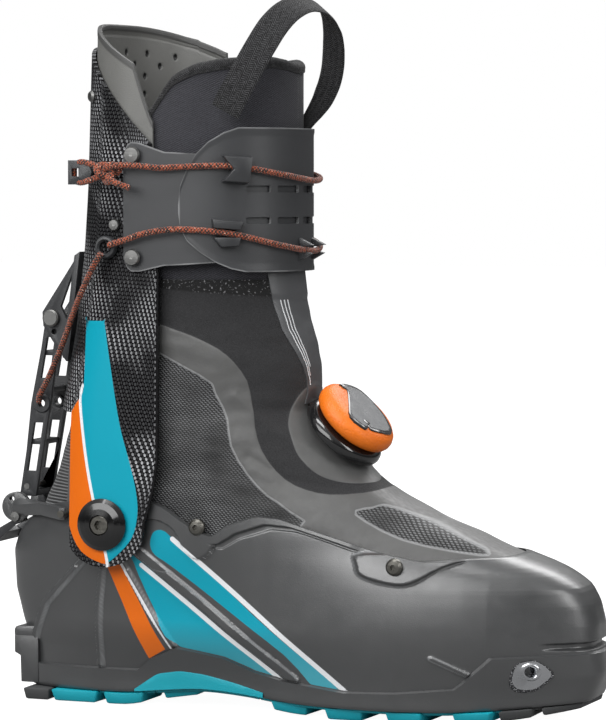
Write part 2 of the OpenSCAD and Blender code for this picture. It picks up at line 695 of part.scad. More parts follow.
// Hook plate that the cord's knot holds on to, at the back of the cuff
module cord_anchor() {
    color("#2a2a2c") place() difference() {
        union() {
            rod(47, 268, -52.4, -46.8, 4);
            translate([38, -51.6, 262]) cube([9, 1.6, 12]);
        }
        translate([40, -53, 266]) cube([4, 4, 4]);
    }
}
module guide_rings() {
    color("#2a2a2c") place() both_sides() turned(57, 231, [[3.2, 46.7], [5.6, 46.7], [5.6, 48.9],
        [5, 50.2], [4, 50.4], [3.2, 49.4]]);
}
module guide_rivets() {
    color("silver") place() both_sides() turned(61, 242, [[0, 43.5], [1.6, 43.5], [1.6, 46.8], [3, 46.8],
        [2.4, 48.4], [0, 48.6]]);
}

// Reinforced strip down the front of the gaiter
module tongue_strip() {
    rows = 6;
    span = [-16, -8, 0, 8, 16];
    function grid(d) = [for (i = [0:rows]) [for (t = span)
        foot_point(mix(166, 209, i / rows), t * mix(1, 1.3, i / rows), gaiter_in - d)]];
    color("#6b6d70") place() sheet(grid(1.5), grid(0.4));
}

// Webbing loop sewn to the liner
strap_route = [[112, -44.4, 290], [112, -43.8, 306], [116, -38, 326], [125, -24, 340], [135, -4, 347],
    [144, 14, 344], [149, 22, 334], [149.5, 22, 315], [143, 23.5, 292]];
module pull_strap() {
    path = curve(strap_route, 3);
    lead = [for (i = [0:len(path) - 1])
        let (f = i / (len(path) - 1)) unit([mix(1, -0.42, f), mix(0.1, 0.9, f), mix(0, 0.05, f)])];
    function edge(i, side, lift) =
        let (t = heading(path, i), w = square_to(lead[i], t), n = cross(t, w))
        path[i] + w * side * strap_w / 2 + n * lift;
    color("#3a3a3c") place() loft([for (i = [0:len(path) - 1])
        [edge(i, -1, -0.8), edge(i, 1, -0.8), edge(i, 1, 0.8), edge(i, -1, 0.8)]]);
}

// Bracket on the back of the cuff that carries the lever
module lever_bracket() {
    function back(z) = soft(z, cuff_back, 6) - 0.3;
    color("#333436") place() difference() {
        union() {
            both_sides() plate(bracket_in, bracket_out) difference() {
                polygon([[back(228), 228], [18, 214], [lever_x - 5.5, 197], [lever_x - 5, 190],
                    [lever_x, 182.5], [back(172) - 1, 172], [back(172), 172]]);
                polygon([[back(216) - 3.4, 216], [16.8, 200], [back(192) - 3, 192]]);
            }
            plate(-bracket_out, bracket_out) polygon([[back(228), 228], [back(228) - 3, 226],
                [back(172) - 3, 174], [back(172), 172]]);
        }
        rod(lever_x, lever_z, -20, 20, lever_bolt_r - 0.01);
        rod(lever_x + 1, lever_z - 7, -20, 20, 1.4);
    }
}
module bracket_screws() {
    color("silver") place() for (z = [181, 220])
        translate([soft(z, cuff_back, 6) - 4.6, 0, z]) rotate([0, 90, 0]) union() {
            cylinder(h = 1.5, r = 3.4);
            cylinder(h = 8.6, r = 1.8);
        }
}
module lever_bolt() {
    color("silver") place() {
        rod(lever_x, lever_z, -bracket_out - 1.6, bracket_out + 1.6, lever_bolt_r);
        both_sides() turned(lever_x, lever_z, [[2, bracket_out + 0.1], [4.4, bracket_out + 0.1],
            [4.4, bracket_out + 2.2], [3.6, bracket_out + 2.8], [0, bracket_out + 2.8],
            [0, bracket_out + 1.4], [2, bracket_out + 1.4]]);
    }
}

// Lever: two ladder rails, three rungs, an eyelet boss and a foot
module lever_frame() {
    function axis_x(z) = mix(lever_foot_x, lever_x, (z - lever_foot_z) / (lever_z - lever_foot_z));
    color("#2c2d2f") place() difference() {
        union() {
            both_sides() plate(rail_in, rail_out) difference() {
                union() {
                    polygon([[axis_x(194) - 5, 194], [axis_x(178) - 5, 178], [axis_x(150) - 6.2, 150],
                        [axis_x(125) - 5, 125], [lever_foot_x - 5, lever_foot_z],
                        [lever_foot_x + 4, lever_foot_z], [axis_x(125) + 4, 125], [axis_x(150) + 4.6, 150],
                        [axis_x(178) + 4, 178], [axis_x(194) + 5, 194]]);
                    translate([lever_x, lever_z]) circle(r = 5);
                }
                polygon([[axis_x(140) - 3, 140], [axis_x(115) - 3, 115], [axis_x(115) + 2, 115],
                    [axis_x(140) + 2, 140]]);
                polygon([[axis_x(184) - 2.6, 184], [axis_x(163) - 3, 163], [axis_x(163) + 2, 163],
                    [axis_x(184) + 1.6, 184]]);
            }
            for (z = [lever_foot_z + 1.5, 130, 157, 176])
                plate(-rail_in - 0.5, rail_in + 0.5)
                    polygon([[axis_x(z) - 4, z + 1.2], [axis_x(z) - 4, z - 1.4],
                        [axis_x(z) + 3.4, z - 1.4], [axis_x(z) + 3.4, z + 1.2]]);
        }
        rod(lever_x, lever_z, -20, 20, lever_bolt_r + fit);
        rod(axis_x(150), 150, -20, 20, 3.2);
        rod(lever_foot_x - 1, lever_foot_z + 5, -20, 20, 1.5);
    }
}
module lever_foot_pin() {
    color("silver") place() rod(lever_foot_x - 1, lever_foot_z + 5, -rail_out - 0.3, rail_out + 0.3, 1.52);
}
module lever_eyelets() {
    axis = mix(lever_foot_x, lever_x, (150 - lever_foot_z) / (lever_z - lever_foot_z));
    color("#1c1c1e") place() both_sides() turned(axis, 150, [[2, rail_in - 1], [3.18, rail_in - 1],
        [3.18, rail_out + 0.1], [5, rail_out + 0.1], [4.4, rail_out + 1.1], [2, rail_out + 1.1]]);
}

lower_shell();
sole_plate();
heel_rubber();
arch_rubber();
forefoot_rubber();
toe_rubber();
toe_insert_lateral();
toe_insert_medial();
heel_insert();
heel_insert_screw();
footboard();
footbed();
liner_foot();
liner_ankle();
liner_cuff();
liner_binding();
gaiter_lower();
gaiter_stretch();
gaiter_screws();
lace_cable();
dial_base();
dial_spool();
dial_hub();
dial_knob();
dial_insert();
pivot_nuts();
pivot_bolts();
pivot_washers();
cuff_bushings();
heel_yoke();
yoke_screws();
catch_rivets();
catch_springs();
heel_catch();
cuff_shell();
spoiler();
spoiler_rivets();
inner_band();
outer_band();
band_rivets();
band_cord_hooks();
edge_cord_hooks();
cord_anchor();
guide_rings();
guide_rivets();
cord_upper();
cord_lower();
cord_knot();
lever_cord();
tongue_strip();
pull_strap();
lever_bracket();
bracket_screws();
lever_bolt();
lever_frame();
lever_foot_pin();
lever_eyelets();
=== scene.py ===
import json
import math

import bmesh
import bpy
import numpy as np
from mathutils import Matrix, Vector, noise


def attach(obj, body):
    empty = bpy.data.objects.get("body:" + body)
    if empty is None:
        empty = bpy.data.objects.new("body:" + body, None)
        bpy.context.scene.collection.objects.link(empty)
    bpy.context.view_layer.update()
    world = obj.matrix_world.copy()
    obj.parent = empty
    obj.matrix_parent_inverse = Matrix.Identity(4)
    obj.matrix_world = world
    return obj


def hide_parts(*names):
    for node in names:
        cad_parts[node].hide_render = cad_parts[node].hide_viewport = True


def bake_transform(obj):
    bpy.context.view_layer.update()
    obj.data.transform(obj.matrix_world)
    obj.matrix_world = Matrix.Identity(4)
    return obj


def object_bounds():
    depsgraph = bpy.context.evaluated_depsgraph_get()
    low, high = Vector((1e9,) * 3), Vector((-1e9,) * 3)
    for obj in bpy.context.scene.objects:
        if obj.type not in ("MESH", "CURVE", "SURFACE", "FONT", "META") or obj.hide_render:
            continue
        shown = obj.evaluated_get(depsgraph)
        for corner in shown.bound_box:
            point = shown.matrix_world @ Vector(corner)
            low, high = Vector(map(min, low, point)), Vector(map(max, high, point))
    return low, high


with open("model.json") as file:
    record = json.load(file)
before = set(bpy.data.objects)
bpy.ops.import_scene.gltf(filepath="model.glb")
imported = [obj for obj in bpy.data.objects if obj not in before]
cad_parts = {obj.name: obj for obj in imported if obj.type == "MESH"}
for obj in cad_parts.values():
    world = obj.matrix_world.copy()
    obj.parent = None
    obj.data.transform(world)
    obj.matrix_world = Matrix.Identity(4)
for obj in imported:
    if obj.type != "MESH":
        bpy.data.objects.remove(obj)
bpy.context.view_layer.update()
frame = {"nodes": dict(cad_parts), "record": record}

# The looks of an alpine touring boot. Shapes are worked out in millimetres from the heel, as the CAD
# part does, and to_row() takes them to the row frame in metres.
MM = 0.001
TURN = 2 * math.pi
ANKLE = Vector(next(j for j in frame["record"]["behaviour"]["joints"] if j["name"] == "ankle")["pos_m"])
ANKLE_X = 55.0
ANKLE_Z = ANKLE.z / MM
MID_X = ANKLE_X - ANKLE.x / MM
SOLE_LEN = 299.0

# Driving sizes of the part, in millimetres
SHELL_WALL = 3.0
GAITER_IN = SHELL_WALL + 1.5
GAITER_WALL = 1.5
LINER_IN = GAITER_IN + GAITER_WALL + 3
LINER_WALL = 5.0
LINER_FLOOR = 20.0
CUFF_WALL = 2.0
CUFF_TOP = 334.0
CUFF_DEPTH = 36.0
LOBE_R = 21.5
LOBE_BACK = 35.6
LOBE_STEP = 1.4
LOBE_DROP = 10.0
CUFF_LOW = 148.0
BAND_CX = 88.0
BAND_HALF = 50.6
BAND_FRONT = 146.0
BAND_TOP = 290.0
BAND_BOTTOM = 219.0
SHIN_X0 = 36.5
SHIN_X1 = 141.4
SHIN_W = 41.2
CORD_D = 3.0
BRAID_LAY = 1.7
STRAP_W = 15.6

REAR_X = [[6, 1], [12, 0], [28, -1], [38, -6], [55, -11], [75, -12], [85, -8.5], [95, -3], [106, 1.5],
          [118, 6], [150, 16], [165, 20.5], [185, 24], [220, 28.5]]
FRONT_X = [[6, SOLE_LEN - 6], [12, SOLE_LEN - 3], [21, SOLE_LEN], [48, SOLE_LEN - 2],
           [58, SOLE_LEN - 4.5], [66, SOLE_LEN - 9], [72, SOLE_LEN - 18], [76, SOLE_LEN - 27],
           [80, SOLE_LEN - 39], [84, SOLE_LEN - 49], [88, 242], [96, 221], [108, 198], [118, 184],
           [125, 178.5], [137, 166.5], [149, 154.5], [156, 154.5], [171, 154.5], [204, 147], [220, 145]]
SOLE_W = [[0, 33], [40, 33], [75, 31], [115, 31], [160, 40], [205, 47], [242, 43], [268, 35], [299, 31]]
WIDE_W = [[-12, 37], [40, 41], [110, 41], [160, 46], [205, 51], [250, 49], [299, 37]]
HIGH_W = [[-12, 43], [55, 45], [110, 44.8], [160, 44.5], [205, 46], [260, 46]]
TREAD_Z = [[0, 0], [60, 0], [75, 3], [100, 7], [125, 5], [150, 1], [170, 0], [230, 0], [262, 3], [299, 9]]
RIM_Z = [[-12, 79], [-8, 80], [-2, 90], [4, 98], [20, 101], [50, 106], [78, 105], [92, 104], [99, 101],
         [106, 94], [114, 88], [130, 94], [154, 99], [167, 98], [178, 92], [192, 84], [206, 79], [230, 80],
         [256, 80.5]]
CORNER = [[6, 0.42], [45, 0.55], [90, 0.66], [120, 0.82], [160, 0.95]]
CUFF_BACK = [[72, 14], [148, 17], [160, 19.5], [190, 25], [229, 29.5], [260, 31.5], [CUFF_TOP, 33.8]]
CUFF_HALF = [[72, 48.5], [130, 48.5], [180, 47.5], [220, 46.5], [340, 45.5]]
CUFF_FRONT = [[72, ANKLE_X + 22], [93, ANKLE_X + 22], [110, 82], [125, 84.5], [217, 84.5], [283, 80]]
BINDING_Z = [[36, 284], [66, 286], [73, 296], [80, 304.5], [83, 309], [89, 317], [101, 322.5], [115, 325],
             [132, 326], [140, 325.8], [145, 320]]


# ---- Formulas of the boot's surfaces ----
def lookup(v, table):
    t = np.asarray(table, float)
    return np.interp(v, t[:, 0], t[:, 1])


def soft(v, table, reach):
    return (lookup(v - reach, table) + 2 * lookup(v, table) + lookup(v + reach, table)) / 4


def mix(a, b, f):
    return a + (b - a) * f


def ease(f):
    c = np.clip(f, 0, 1)
    return c * c * (3 - 2 * c)


def foot_w(x, z):
    low = mix(soft(x, SOLE_W, 12), soft(x, WIDE_W, 12), ease((z - 8) / 37))
    high = mix(soft(x, WIDE_W, 12), soft(x, HIGH_W, 12), ease((z - 45) / 45))
    return np.where(z < 45, low, high)


def drift(x):
    return 6 * ease((x - 110) / 180)


def rocker(x, z):
    return soft(x, TREAD_Z, 8) * 0.62 * (1 - ease((z - 10) / 26))


def foot_point(z, t, d):
    """Point on the foot's surface at height z and angle t, moved in by d."""
    x0 = soft(z, REAR_X, 2) + d
    x1 = soft(z, FRONT_X, 2) - d
    x = (x0 + x1) / 2 + (x1 - x0) / 2 * np.cos(t)
    w = foot_w(x, z) - d
    s = np.sin(t)
    y = drift(x) + w * np.sign(s) * np.abs(s) ** lookup(z, CORNER)
    return np.stack(np.broadcast_arrays(x, y, z + rocker(x, z)), -1)


def shin_point(z, t, d):
    s = np.sin(t)
    x = (SHIN_X0 + SHIN_X1) / 2 + ((SHIN_X1 - SHIN_X0) / 2 - d) * np.cos(t)
    y = (SHIN_W - d) * np.sign(s) * np.abs(s) ** 0.9
    return np.stack(np.broadcast_arrays(x, y, z), -1)


def toe_tuck(x, z):
    return 5 * ease((x - 235) / 25) * (1 - ease((z - 32) / 14))


def cuff_point(s, z, d):
    """Point on the cuff: s runs from 1 at the inner front edge over 0 at the back to -1."""
    side = np.minimum(np.abs(s), 0.5) * math.pi
    b = lookup(z, CUFF_HALF) - d
    x0 = soft(z, CUFF_BACK, 6) + d
    arc = x0 + (CUFF_DEPTH - d) * (1 - np.cos(side))
    flat = mix(x0 + CUFF_DEPTH - d, lookup(z, CUFF_FRONT), np.abs(s) * 2 - 1)
    x = np.where(np.abs(s) <= 0.5, arc, flat)
    return np.stack(np.broadcast_arrays(x, b * np.sign(s) * np.sin(side), z), -1)


def cuff_top_z(s):
    return CUFF_TOP - 1.06 * (cuff_point(s, 300.0, 0)[..., 0] - 31)


def side_x(p):
    """Place along the side view, as seen past the curve of the cuff's back."""
    return p[..., 0] + (50 - np.abs(p[..., 1])) * 0.364


def cuff_low_z(s):
    x = side_x(cuff_point(s, ANKLE_Z, 0))
    reach = LOBE_R + 0.8
    lobe = ANKLE_Z - LOBE_R * np.sqrt(np.maximum(0, 1 - ((x - ANKLE_X - 0.4) / reach) ** 2))
    step = mix(CUFF_LOW, ANKLE_Z - LOBE_DROP, (x - LOBE_BACK) / LOBE_STEP)
    low = np.where(x < LOBE_BACK, CUFF_LOW, step)
    return np.where(x < LOBE_BACK + LOBE_STEP, low, lobe)


def band_point(a, z, d):
    """Point on the front bands at angle a, in degrees round the shin."""
    r = np.radians(np.clip(a, -90, 90))
    bow = BAND_CX + (BAND_FRONT - BAND_CX - d) * np.cos(r) ** 0.85
    x = np.where(np.abs(a) <= 90, bow, BAND_CX - (np.abs(a) - 90) * 0.6)
    return np.stack(np.broadcast_arrays(x, (BAND_HALF - d) * np.sin(r), z), -1)


def spline(a, b, c, d, f):
    """Smooth step from b to c, with a before them and d after them."""
    return (2 * b + (c - a) * f + (2 * a - 5 * b + 4 * c - d) * f ** 2 + (3 * b - a - 3 * c + d) * f ** 3) / 2


def curve(points, k):
    """Smooth curve through points, with k steps on each span."""
    p = np.asarray(points, float)
    last = len(p) - 1
    out = [spline(p[max(i - 1, 0)], p[i], p[i + 1], p[min(i + 2, last)], f)
           for i in range(last) for f in np.arange(k) / k]
    return np.array(out + [p[-1]])


def run_along(path):
    """Length along a path at each of its points."""
    return np.concatenate([[0], np.cumsum(np.linalg.norm(np.diff(path, axis=0), axis=1))])


def unit(v):
    return v / np.linalg.norm(v, axis=-1, keepdims=True)


def ring_angles(n):
    return np.linspace(0, TURN, n, endpoint=False)


def grid(across, low, high, rows):
    """Places across a sheet and heights up it, for rows between its low and high edges."""
    z = mix(low[None, :], high[None, :], np.linspace(0, 1, rows)[:, None])
    return np.broadcast_to(across[None, :], z.shape), z


def even(points, step):
    """The same path with its points a step apart."""
    p = np.asarray(points, float)
    run = run_along(p)
    at = np.linspace(0, run[-1], max(2, int(run[-1] / step) + 1))
    return np.stack([np.interp(at, run, p[:, k]) for k in range(3)], -1)


# ---- Distances in the side view, for printed areas, ribs and panels ----
def line_distance(x, z, path):
    """Distance of each point from a line through the points of path."""
    best = np.full(np.shape(x), 1e9)
    for (ax, az), (bx, bz) in zip(path, path[1:]):
        dx, dz = bx - ax, bz - az
        f = np.clip(((x - ax) * dx + (z - az) * dz) / (dx * dx + dz * dz), 0, 1)
        best = np.minimum(best, np.hypot(x - ax - f * dx, z - az - f * dz))
    return best


def area_depth(x, z, outline):
    """Distance from the outline's edge: positive inside it and negative outside."""
    loop = list(outline) + [outline[0]]
    inside = np.zeros(np.shape(x), bool)
    for (ax, az), (bx, bz) in zip(loop, loop[1:]):
        if az != bz:
            cross = ((az > z) != (bz > z)) & (x < (bx - ax) * (z - az) / (bz - az) + ax)
            inside ^= cross
    return np.where(inside, 1, -1) * line_distance(x, z, loop)


def rounded(outline, k=4):
    """An outline's corners turned into a smooth closed curve."""
    p = [np.array(q, float) for q in outline]
    n = len(p)
    return [tuple(spline(p[i - 1], p[i], p[(i + 1) % n], p[(i + 2) % n], f))
            for i in range(n) for f in np.arange(k) / k]


def ridge(dist, half, height, blur):
    return height * (1 - ease((dist - half + blur) / (2 * blur)))


def ramp(depth, width):
    return ease(depth / width)


# ---- Meshes ----
def to_row(points):
    return (np.asarray(points, float).reshape(-1, 3) - [MID_X, 0, 0]) * MM


def smooth(mesh, sharp):
    """Smooth shading, with a crease where faces meet at more than sharp degrees."""
    mesh.shade_smooth()
    mesh.set_sharp_from_angle(angle=math.radians(sharp))


def add_mesh(name, points, faces, material=None, marks=None, sharp=40, flip=False):
    """A new object from points in millimetres, with marks as named values on its points."""
    mesh = bpy.data.meshes.new(name)
    faces = [list(reversed(f)) for f in faces] if flip else faces
    mesh.from_pydata(to_row(points).tolist(), [], faces)
    for key, values in (marks or {}).items():
        attribute = mesh.attributes.new(key, "FLOAT", "POINT")
        attribute.data.foreach_set("value", np.asarray(values, np.float32).ravel())
    smooth(mesh, sharp)
    mesh.validate()
    obj = bpy.data.objects.new(name, mesh)
    bpy.context.scene.collection.objects.link(obj)
    if material:
        mesh.materials.append(material)
    return obj


def strip_faces(rows, cols, loop=False, wrap=False):
    """Faces of a grid. loop joins the last row to the first, and wrap the last column."""
    i = np.arange(rows if loop else rows - 1)
    j = np.arange(cols if wrap else cols - 1)
    i, j = np.meshgrid(i, j, indexing="ij")
    up, right = (i + 1) % rows, (j + 1) % cols
    quads = np.stack([i * cols + j, up * cols + j, up * cols + right, i * cols + right], -1)
    return quads.reshape(-1, 4).tolist()


def ladder_faces(start, n, up):
    """Cap of a symmetrical ring of n points, as a ladder between its two sides."""
    faces = [[start, start + 1, start + n - 1], [start + n // 2 - 1, start + n // 2, start + n // 2 + 1]]
    faces += [[start + j, start + j + 1, start + n - j - 1, start + n - j] for j in range(1, n // 2 - 1)]
    return [list(reversed(f)) for f in faces] if up else faces


def ring_mesh(name, rows, material, marks=None, sharp=40, loop=False):
    """Surface through a stack of closed rings. loop joins the last ring to the first."""
    rows = np.asarray(rows, float)
    m, n = rows.shape[:2]
    faces = strip_faces(m, n, loop=loop, wrap=True)
    if not loop:
        faces += ladder_faces(0, n, False) + ladder_faces((m - 1) * n, n, True)
    return add_mesh(name, rows, faces, material, marks, sharp)


def sheet_mesh(name, outer, inner, material, marks=None, flip=False):
    """Curved sheet with thickness, between an outer and an inner grid of points."""
    outer, inner = np.asarray(outer, float), np.asarray(inner, float)
    rows = np.concatenate([outer, inner[::-1]])
    m, n = rows.shape[:2]
    faces = strip_faces(m, n, loop=True)
    for i in range(m // 2 - 1):
        low, high = m - 1 - i, m - 2 - i
        faces.append([i * n, low * n, high * n, (i + 1) * n])
        faces.append([(i + 1) * n + n - 1, high * n + n - 1, low * n + n - 1, i * n + n - 1])
    both = {k: np.concatenate([v, v[::-1]]) for k, v in (marks or {}).items()}
    return add_mesh(name, rows, faces, material, both, flip=flip)


def tube_mesh(name, path, radius, sides, material, relief):
    """Round tube along a path. relief is a height over (angle, length), in millimetres."""
    run = run_along(path)
    t = unit(np.gradient(path, axis=0))
    u = np.array([0.1, 0.3, 1.0])
    frames = []
    for k in range(len(path)):
        u = unit(u - t[k] * (u @ t[k]))
        frames.append(u)
    u = np.array(frames)
    v = np.cross(t, u)
    angle, length = np.meshgrid(np.linspace(0, TURN, sides + 1), run)
    r = radius + relief(angle, length)
    points = path[:, None] + r[..., None] * (u[:, None] * np.cos(angle)[..., None]
                                             + v[:, None] * np.sin(angle)[..., None])
    m, n = points.shape[:2]
    faces = strip_faces(m, n)
    faces.append(list(range(n - 1)))
    faces.append([(m - 1) * n + k for k in reversed(range(n - 1))])
    return add_mesh(name, points, faces, material, {"angle": angle / TURN, "length": length}, 60, flip=True)


def outward(obj):
    """Turns all faces of a closed mesh to the outside."""
    bm = bmesh.new()
    bm.from_mesh(obj.data)
    bmesh.ops.recalc_face_normals(bm, faces=bm.faces)
    bm.to_mesh(obj.data)
    bm.free()
    return obj


def prism(name, outline, low, high, place, material, taper=1.0, width=0.4, sharp=40):
    """Block between an outline at two heights, set down by place(). taper scales its low end."""
    o = np.array(outline, float)
    centre = o.mean(axis=0)
    n = len(o)
    base = np.c_[centre + (o - centre) * taper, np.full(n, low)]
    points = np.concatenate([base, np.c_[o, np.full(n, high)]])
    faces = [list(reversed(range(n))), list(range(n, 2 * n))]
    faces += [[k, (k + 1) % n, n + (k + 1) % n, n + k] for k in range(n)]
    made = outward(add_mesh(name, place(points), faces, material))
    bevel(made, width, 2)
    smooth(made.data, sharp)
    return made


def along_y(points):
    """Place for a prism with its outline in the side view."""
    return points[:, [0, 2, 1]]


def lathe(name, profile, place, material, sides=96):
    """Solid turned from pairs of radius and height, set down by place()."""
    a = ring_angles(sides)
    r, h = np.array(profile, float).T
    rows = np.stack([r[:, None] * np.cos(a), r[:, None] * np.sin(a), h[:, None] + 0 * a], -1)
    m, n = rows.shape[:2]
    faces = strip_faces(m, n, wrap=True) + [list(range(n)), list(range((m - 1) * n, m * n))]
    return outward(add_mesh(name, place(rows.reshape(-1, 3)), faces, material, sharp=35))


def bevel(obj, width, segments=2, angle=30):
    """Rounds an object's edges that are sharper than angle, in degrees."""
    mod = obj.modifiers.new("edges", "BEVEL")
    mod.width = width * MM
    mod.segments = segments
    mod.limit_method = "ANGLE"
    mod.angle_limit = math.radians(angle)
    bake(obj)


def bake(obj):
    """Applies an object's modifiers to its mesh."""
    graph = bpy.context.evaluated_depsgraph_get()
    mesh = bpy.data.meshes.new_from_object(obj.evaluated_get(graph))
    old = obj.data
    obj.modifiers.clear()
    obj.data = mesh
    mesh.name = obj.name
    bpy.data.meshes.remove(old)


def cut(obj, cutters):
    """Takes the cutters away from an object."""
    for tool in cutters:
        mod = obj.modifiers.new("cut", "BOOLEAN")
        mod.operation = "DIFFERENCE"
        mod.solver = "EXACT"
        mod.object = tool
    bake(obj)
    for tool in cutters:
        bpy.data.objects.remove(tool)


def join(name, objects):
    """Joins objects into the first one."""
    with bpy.context.temp_override(active_object=objects[0], selected_editable_objects=objects):
        bpy.ops.object.join()
    objects[0].name = name
    return objects[0]


def softened(node, material, width):
    """A copy of a rigid CAD node with rounded edges, which stands for it."""
    mesh = frame["nodes"][node].data.copy()
    mesh.materials.clear()
    mesh.materials.append(material)
    bm = bmesh.new()
    bm.from_mesh(mesh)
    bmesh.ops.remove_doubles(bm, verts=bm.verts, dist=1e-6)
    bmesh.ops.dissolve_limit(bm, angle_limit=math.radians(1.5), verts=bm.verts, edges=bm.edges)
    bm.to_mesh(mesh)
    bm.free()
    obj = bpy.data.objects.new(node + "_piece", mesh)
    bpy.context.scene.collection.objects.link(obj)
    bevel(obj, width)
    smooth(obj.data, 35)
    ride_like(obj, node)


def ride_like(obj, node):
    """obj stands for a CAD node: it rides on the node's body, and the node is hidden."""
    body = next(b for b, members in frame["record"]["behaviour"]["bodies"].items() if node in members)
    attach(obj, body)
    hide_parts(node)


def slot_of(node):
    return next(s["material_slot"] for s in frame["record"]["subparts"] if s["node"] == node)


# ---- Materials ----
def srgb(r, g, b):
    """A colour seen on screen, 0 to 255, as the linear values that shaders use."""
    def linear(c):
        return c / 255 / 12.92 if c <= 10 else ((c / 255 + 0.055) / 1.055) ** 2.4
    return linear(r), linear(g), linear(b), 1


def scaled(color, factor):
    """A colour made lighter or darker."""
    return tuple(min(1, c * factor) for c in color[:3]) + (1,)


class Value:
    """A node's output in a material, which arithmetic turns into further nodes."""

    def __init__(self, paint, socket):
        self.paint, self.socket = paint, socket

    def __add__(self, other):
        return self.paint.math("ADD", self, other)

    def __sub__(self, other):
        return self.paint.math("SUBTRACT", self, other)

    def __rsub__(self, other):
        return self.paint.math("SUBTRACT", other, self)

    def __mul__(self, other):
        return self.paint.math("MULTIPLY", self, other)

    def __truediv__(self, other):
        return self.paint.math("DIVIDE", self, other)

    def __mod__(self, other):
        return self.paint.math("MODULO", self, other)

    def __pow__(self, other):
        return self.paint.math("POWER", self, other)

    def __abs__(self):
        return self.paint.math("ABSOLUTE", self)


class Paint:
    """Builds one node material."""

    def __init__(self, name, color, roughness, **inputs):
        self.mat = bpy.data.materials.new(name)
        self.mat.use_nodes = True
        self.tree = self.mat.node_tree
        self.shader = self.tree.nodes["Principled BSDF"]
        self.put("Base Color", color)
        self.put("Roughness", roughness)
        for key, value in inputs.items():
            self.put(key.replace("_", " "), value)

    def node(self, kind, **values):
        made = self.tree.nodes.new("ShaderNode" + kind)
        for key, value in values.items():
            setattr(made, key, value)
        return made

    def link(self, value, socket):
        if isinstance(value, Value):
            self.tree.links.new(value.socket, socket)
        else:
            socket.default_value = value

    def put(self, name, value):
        self.link(value, self.shader.inputs[name])

    def math(self, operation, a, b=0.0):
        made = self.node("Math", operation=operation)
        self.link(a, made.inputs[0])
        self.link(b, made.inputs[1])
        return Value(self, made.outputs[0])

    def sine(self, value):
        return self.math("SINE", value)

    def fract(self, value):
        return self.math("FRACT", value)

    def floor(self, value):
        return self.math("FLOOR", value)

    def most(self, a, b):
        return self.math("MAXIMUM", a, b)

    def mark(self, name):
        return Value(self, self.node("Attribute", attribute_name=name).outputs["Fac"])

    def place(self, scale=(1, 1, 1)):
        """The object's own coordinates, scaled along each axis."""
        made = self.node("Mapping")
        made.inputs["Scale"].default_value = scale
        self.tree.links.new(self.node("TexCoord").outputs["Object"], made.inputs["Vector"])
        return made.outputs[0]

    def noise(self, scale, detail=2.0, stretch=(1, 1, 1)):
        made = self.node("TexNoise")
        made.inputs["Scale"].default_value = scale
        made.inputs["Detail"].default_value = detail
        self.tree.links.new(self.place(stretch), made.inputs["Vector"])
        return Value(self, made.outputs["Fac"])

    def cells(self, scale):
        made = self.node("TexVoronoi")
        made.inputs["Scale"].default_value = scale
        self.tree.links.new(self.place(), made.inputs["Vector"])
        return Value(self, made.outputs["Distance"])

    def span(self, value, low, high, to_low=0.0, to_high=1.0):
        made = self.node("MapRange")
        self.link(value, made.inputs["Value"])
        for key, v in (("From Min", low), ("From Max", high), ("To Min", to_low), ("To Max", to_high)):
            made.inputs[key].default_value = v
        return Value(self, made.outputs["Result"])

    def mix(self, factor, a, b):
        made = self.node("Mix", data_type="RGBA")
        self.link(factor, made.inputs[0])
        self.link(a, made.inputs[6])
        self.link(b, made.inputs[7])
        return Value(self, made.outputs[2])

    def blend(self, factor, a, b):
        made = self.node("Mix", data_type="FLOAT")
        self.link(factor, made.inputs[0])
        self.link(a, made.inputs[2])
        self.link(b, made.inputs[3])
        return Value(self, made.outputs[0])

    def bump(self, height, depth):
        """Bump of a given depth in millimetres."""
        made = self.node("Bump")
        made.inputs["Distance"].default_value = depth * MM
        self.link(height, made.inputs["Height"])
        self.tree.links.new(made.outputs[0], self.shader.inputs["Normal"])

    def edge(self, depth, blur=0.12):
        """1 inside an area and 0 outside, from a mark that holds the distance from its edge."""
        return self.span(depth, -blur, blur)


def plastic(name, color, roughness=0.5, grain=0.06, fine=2600, **inputs):
    """Moulded plastic or rubber: a fine grain, slow colour changes and slightly worn gloss."""
    p = Paint(name, color, roughness, **inputs)
    p.put("Base Color", p.mix(p.noise(38, 3), scaled(color, 0.88), scaled(color, 1.12)))
    p.put("Roughness", p.span(p.noise(160, 4), 0.3, 0.7, roughness - 0.07, roughness + 0.07))
    p.bump(p.noise(fine, 2), grain)
    return p.mat


def metal(name, color, roughness=0.28, brushed=900, **inputs):
    """Machined metal with fine lines."""
    p = Paint(name, color, roughness, Metallic=1.0, **inputs)
    lines = p.noise(brushed, 2, (0.15, 1, 1))
    p.put("Roughness", p.span(lines, 0.3, 0.7, roughness - 0.08, roughness + 0.12))
    p.put("Base Color", p.mix(p.noise(120, 3), scaled(color, 0.82), color))
    p.bump(lines, 0.02)
    return p.mat


TEAL = srgb(0, 150, 172)
TEAL_LIGHT = srgb(70, 158, 174)
ORANGE = srgb(222, 104, 8)
ORANGE_LOW = srgb(212, 104, 30)
WHITE_INK = srgb(226, 228, 230)
SHELL_GREY = srgb(55, 56, 57)
DARK = srgb(38, 39, 41)


def print_fields(p, color, orange, teal):
    """Prints the marked fields over a colour, and returns where the two large ones are."""
    for key, ink in (("orange", orange), ("teal", teal), ("white", WHITE_INK)):
        color = p.mix(p.edge(p.mark(key)), color, ink)
    p.put("Base Color", color)
    return p.most(p.edge(p.mark("orange")), p.edge(p.mark("teal")))


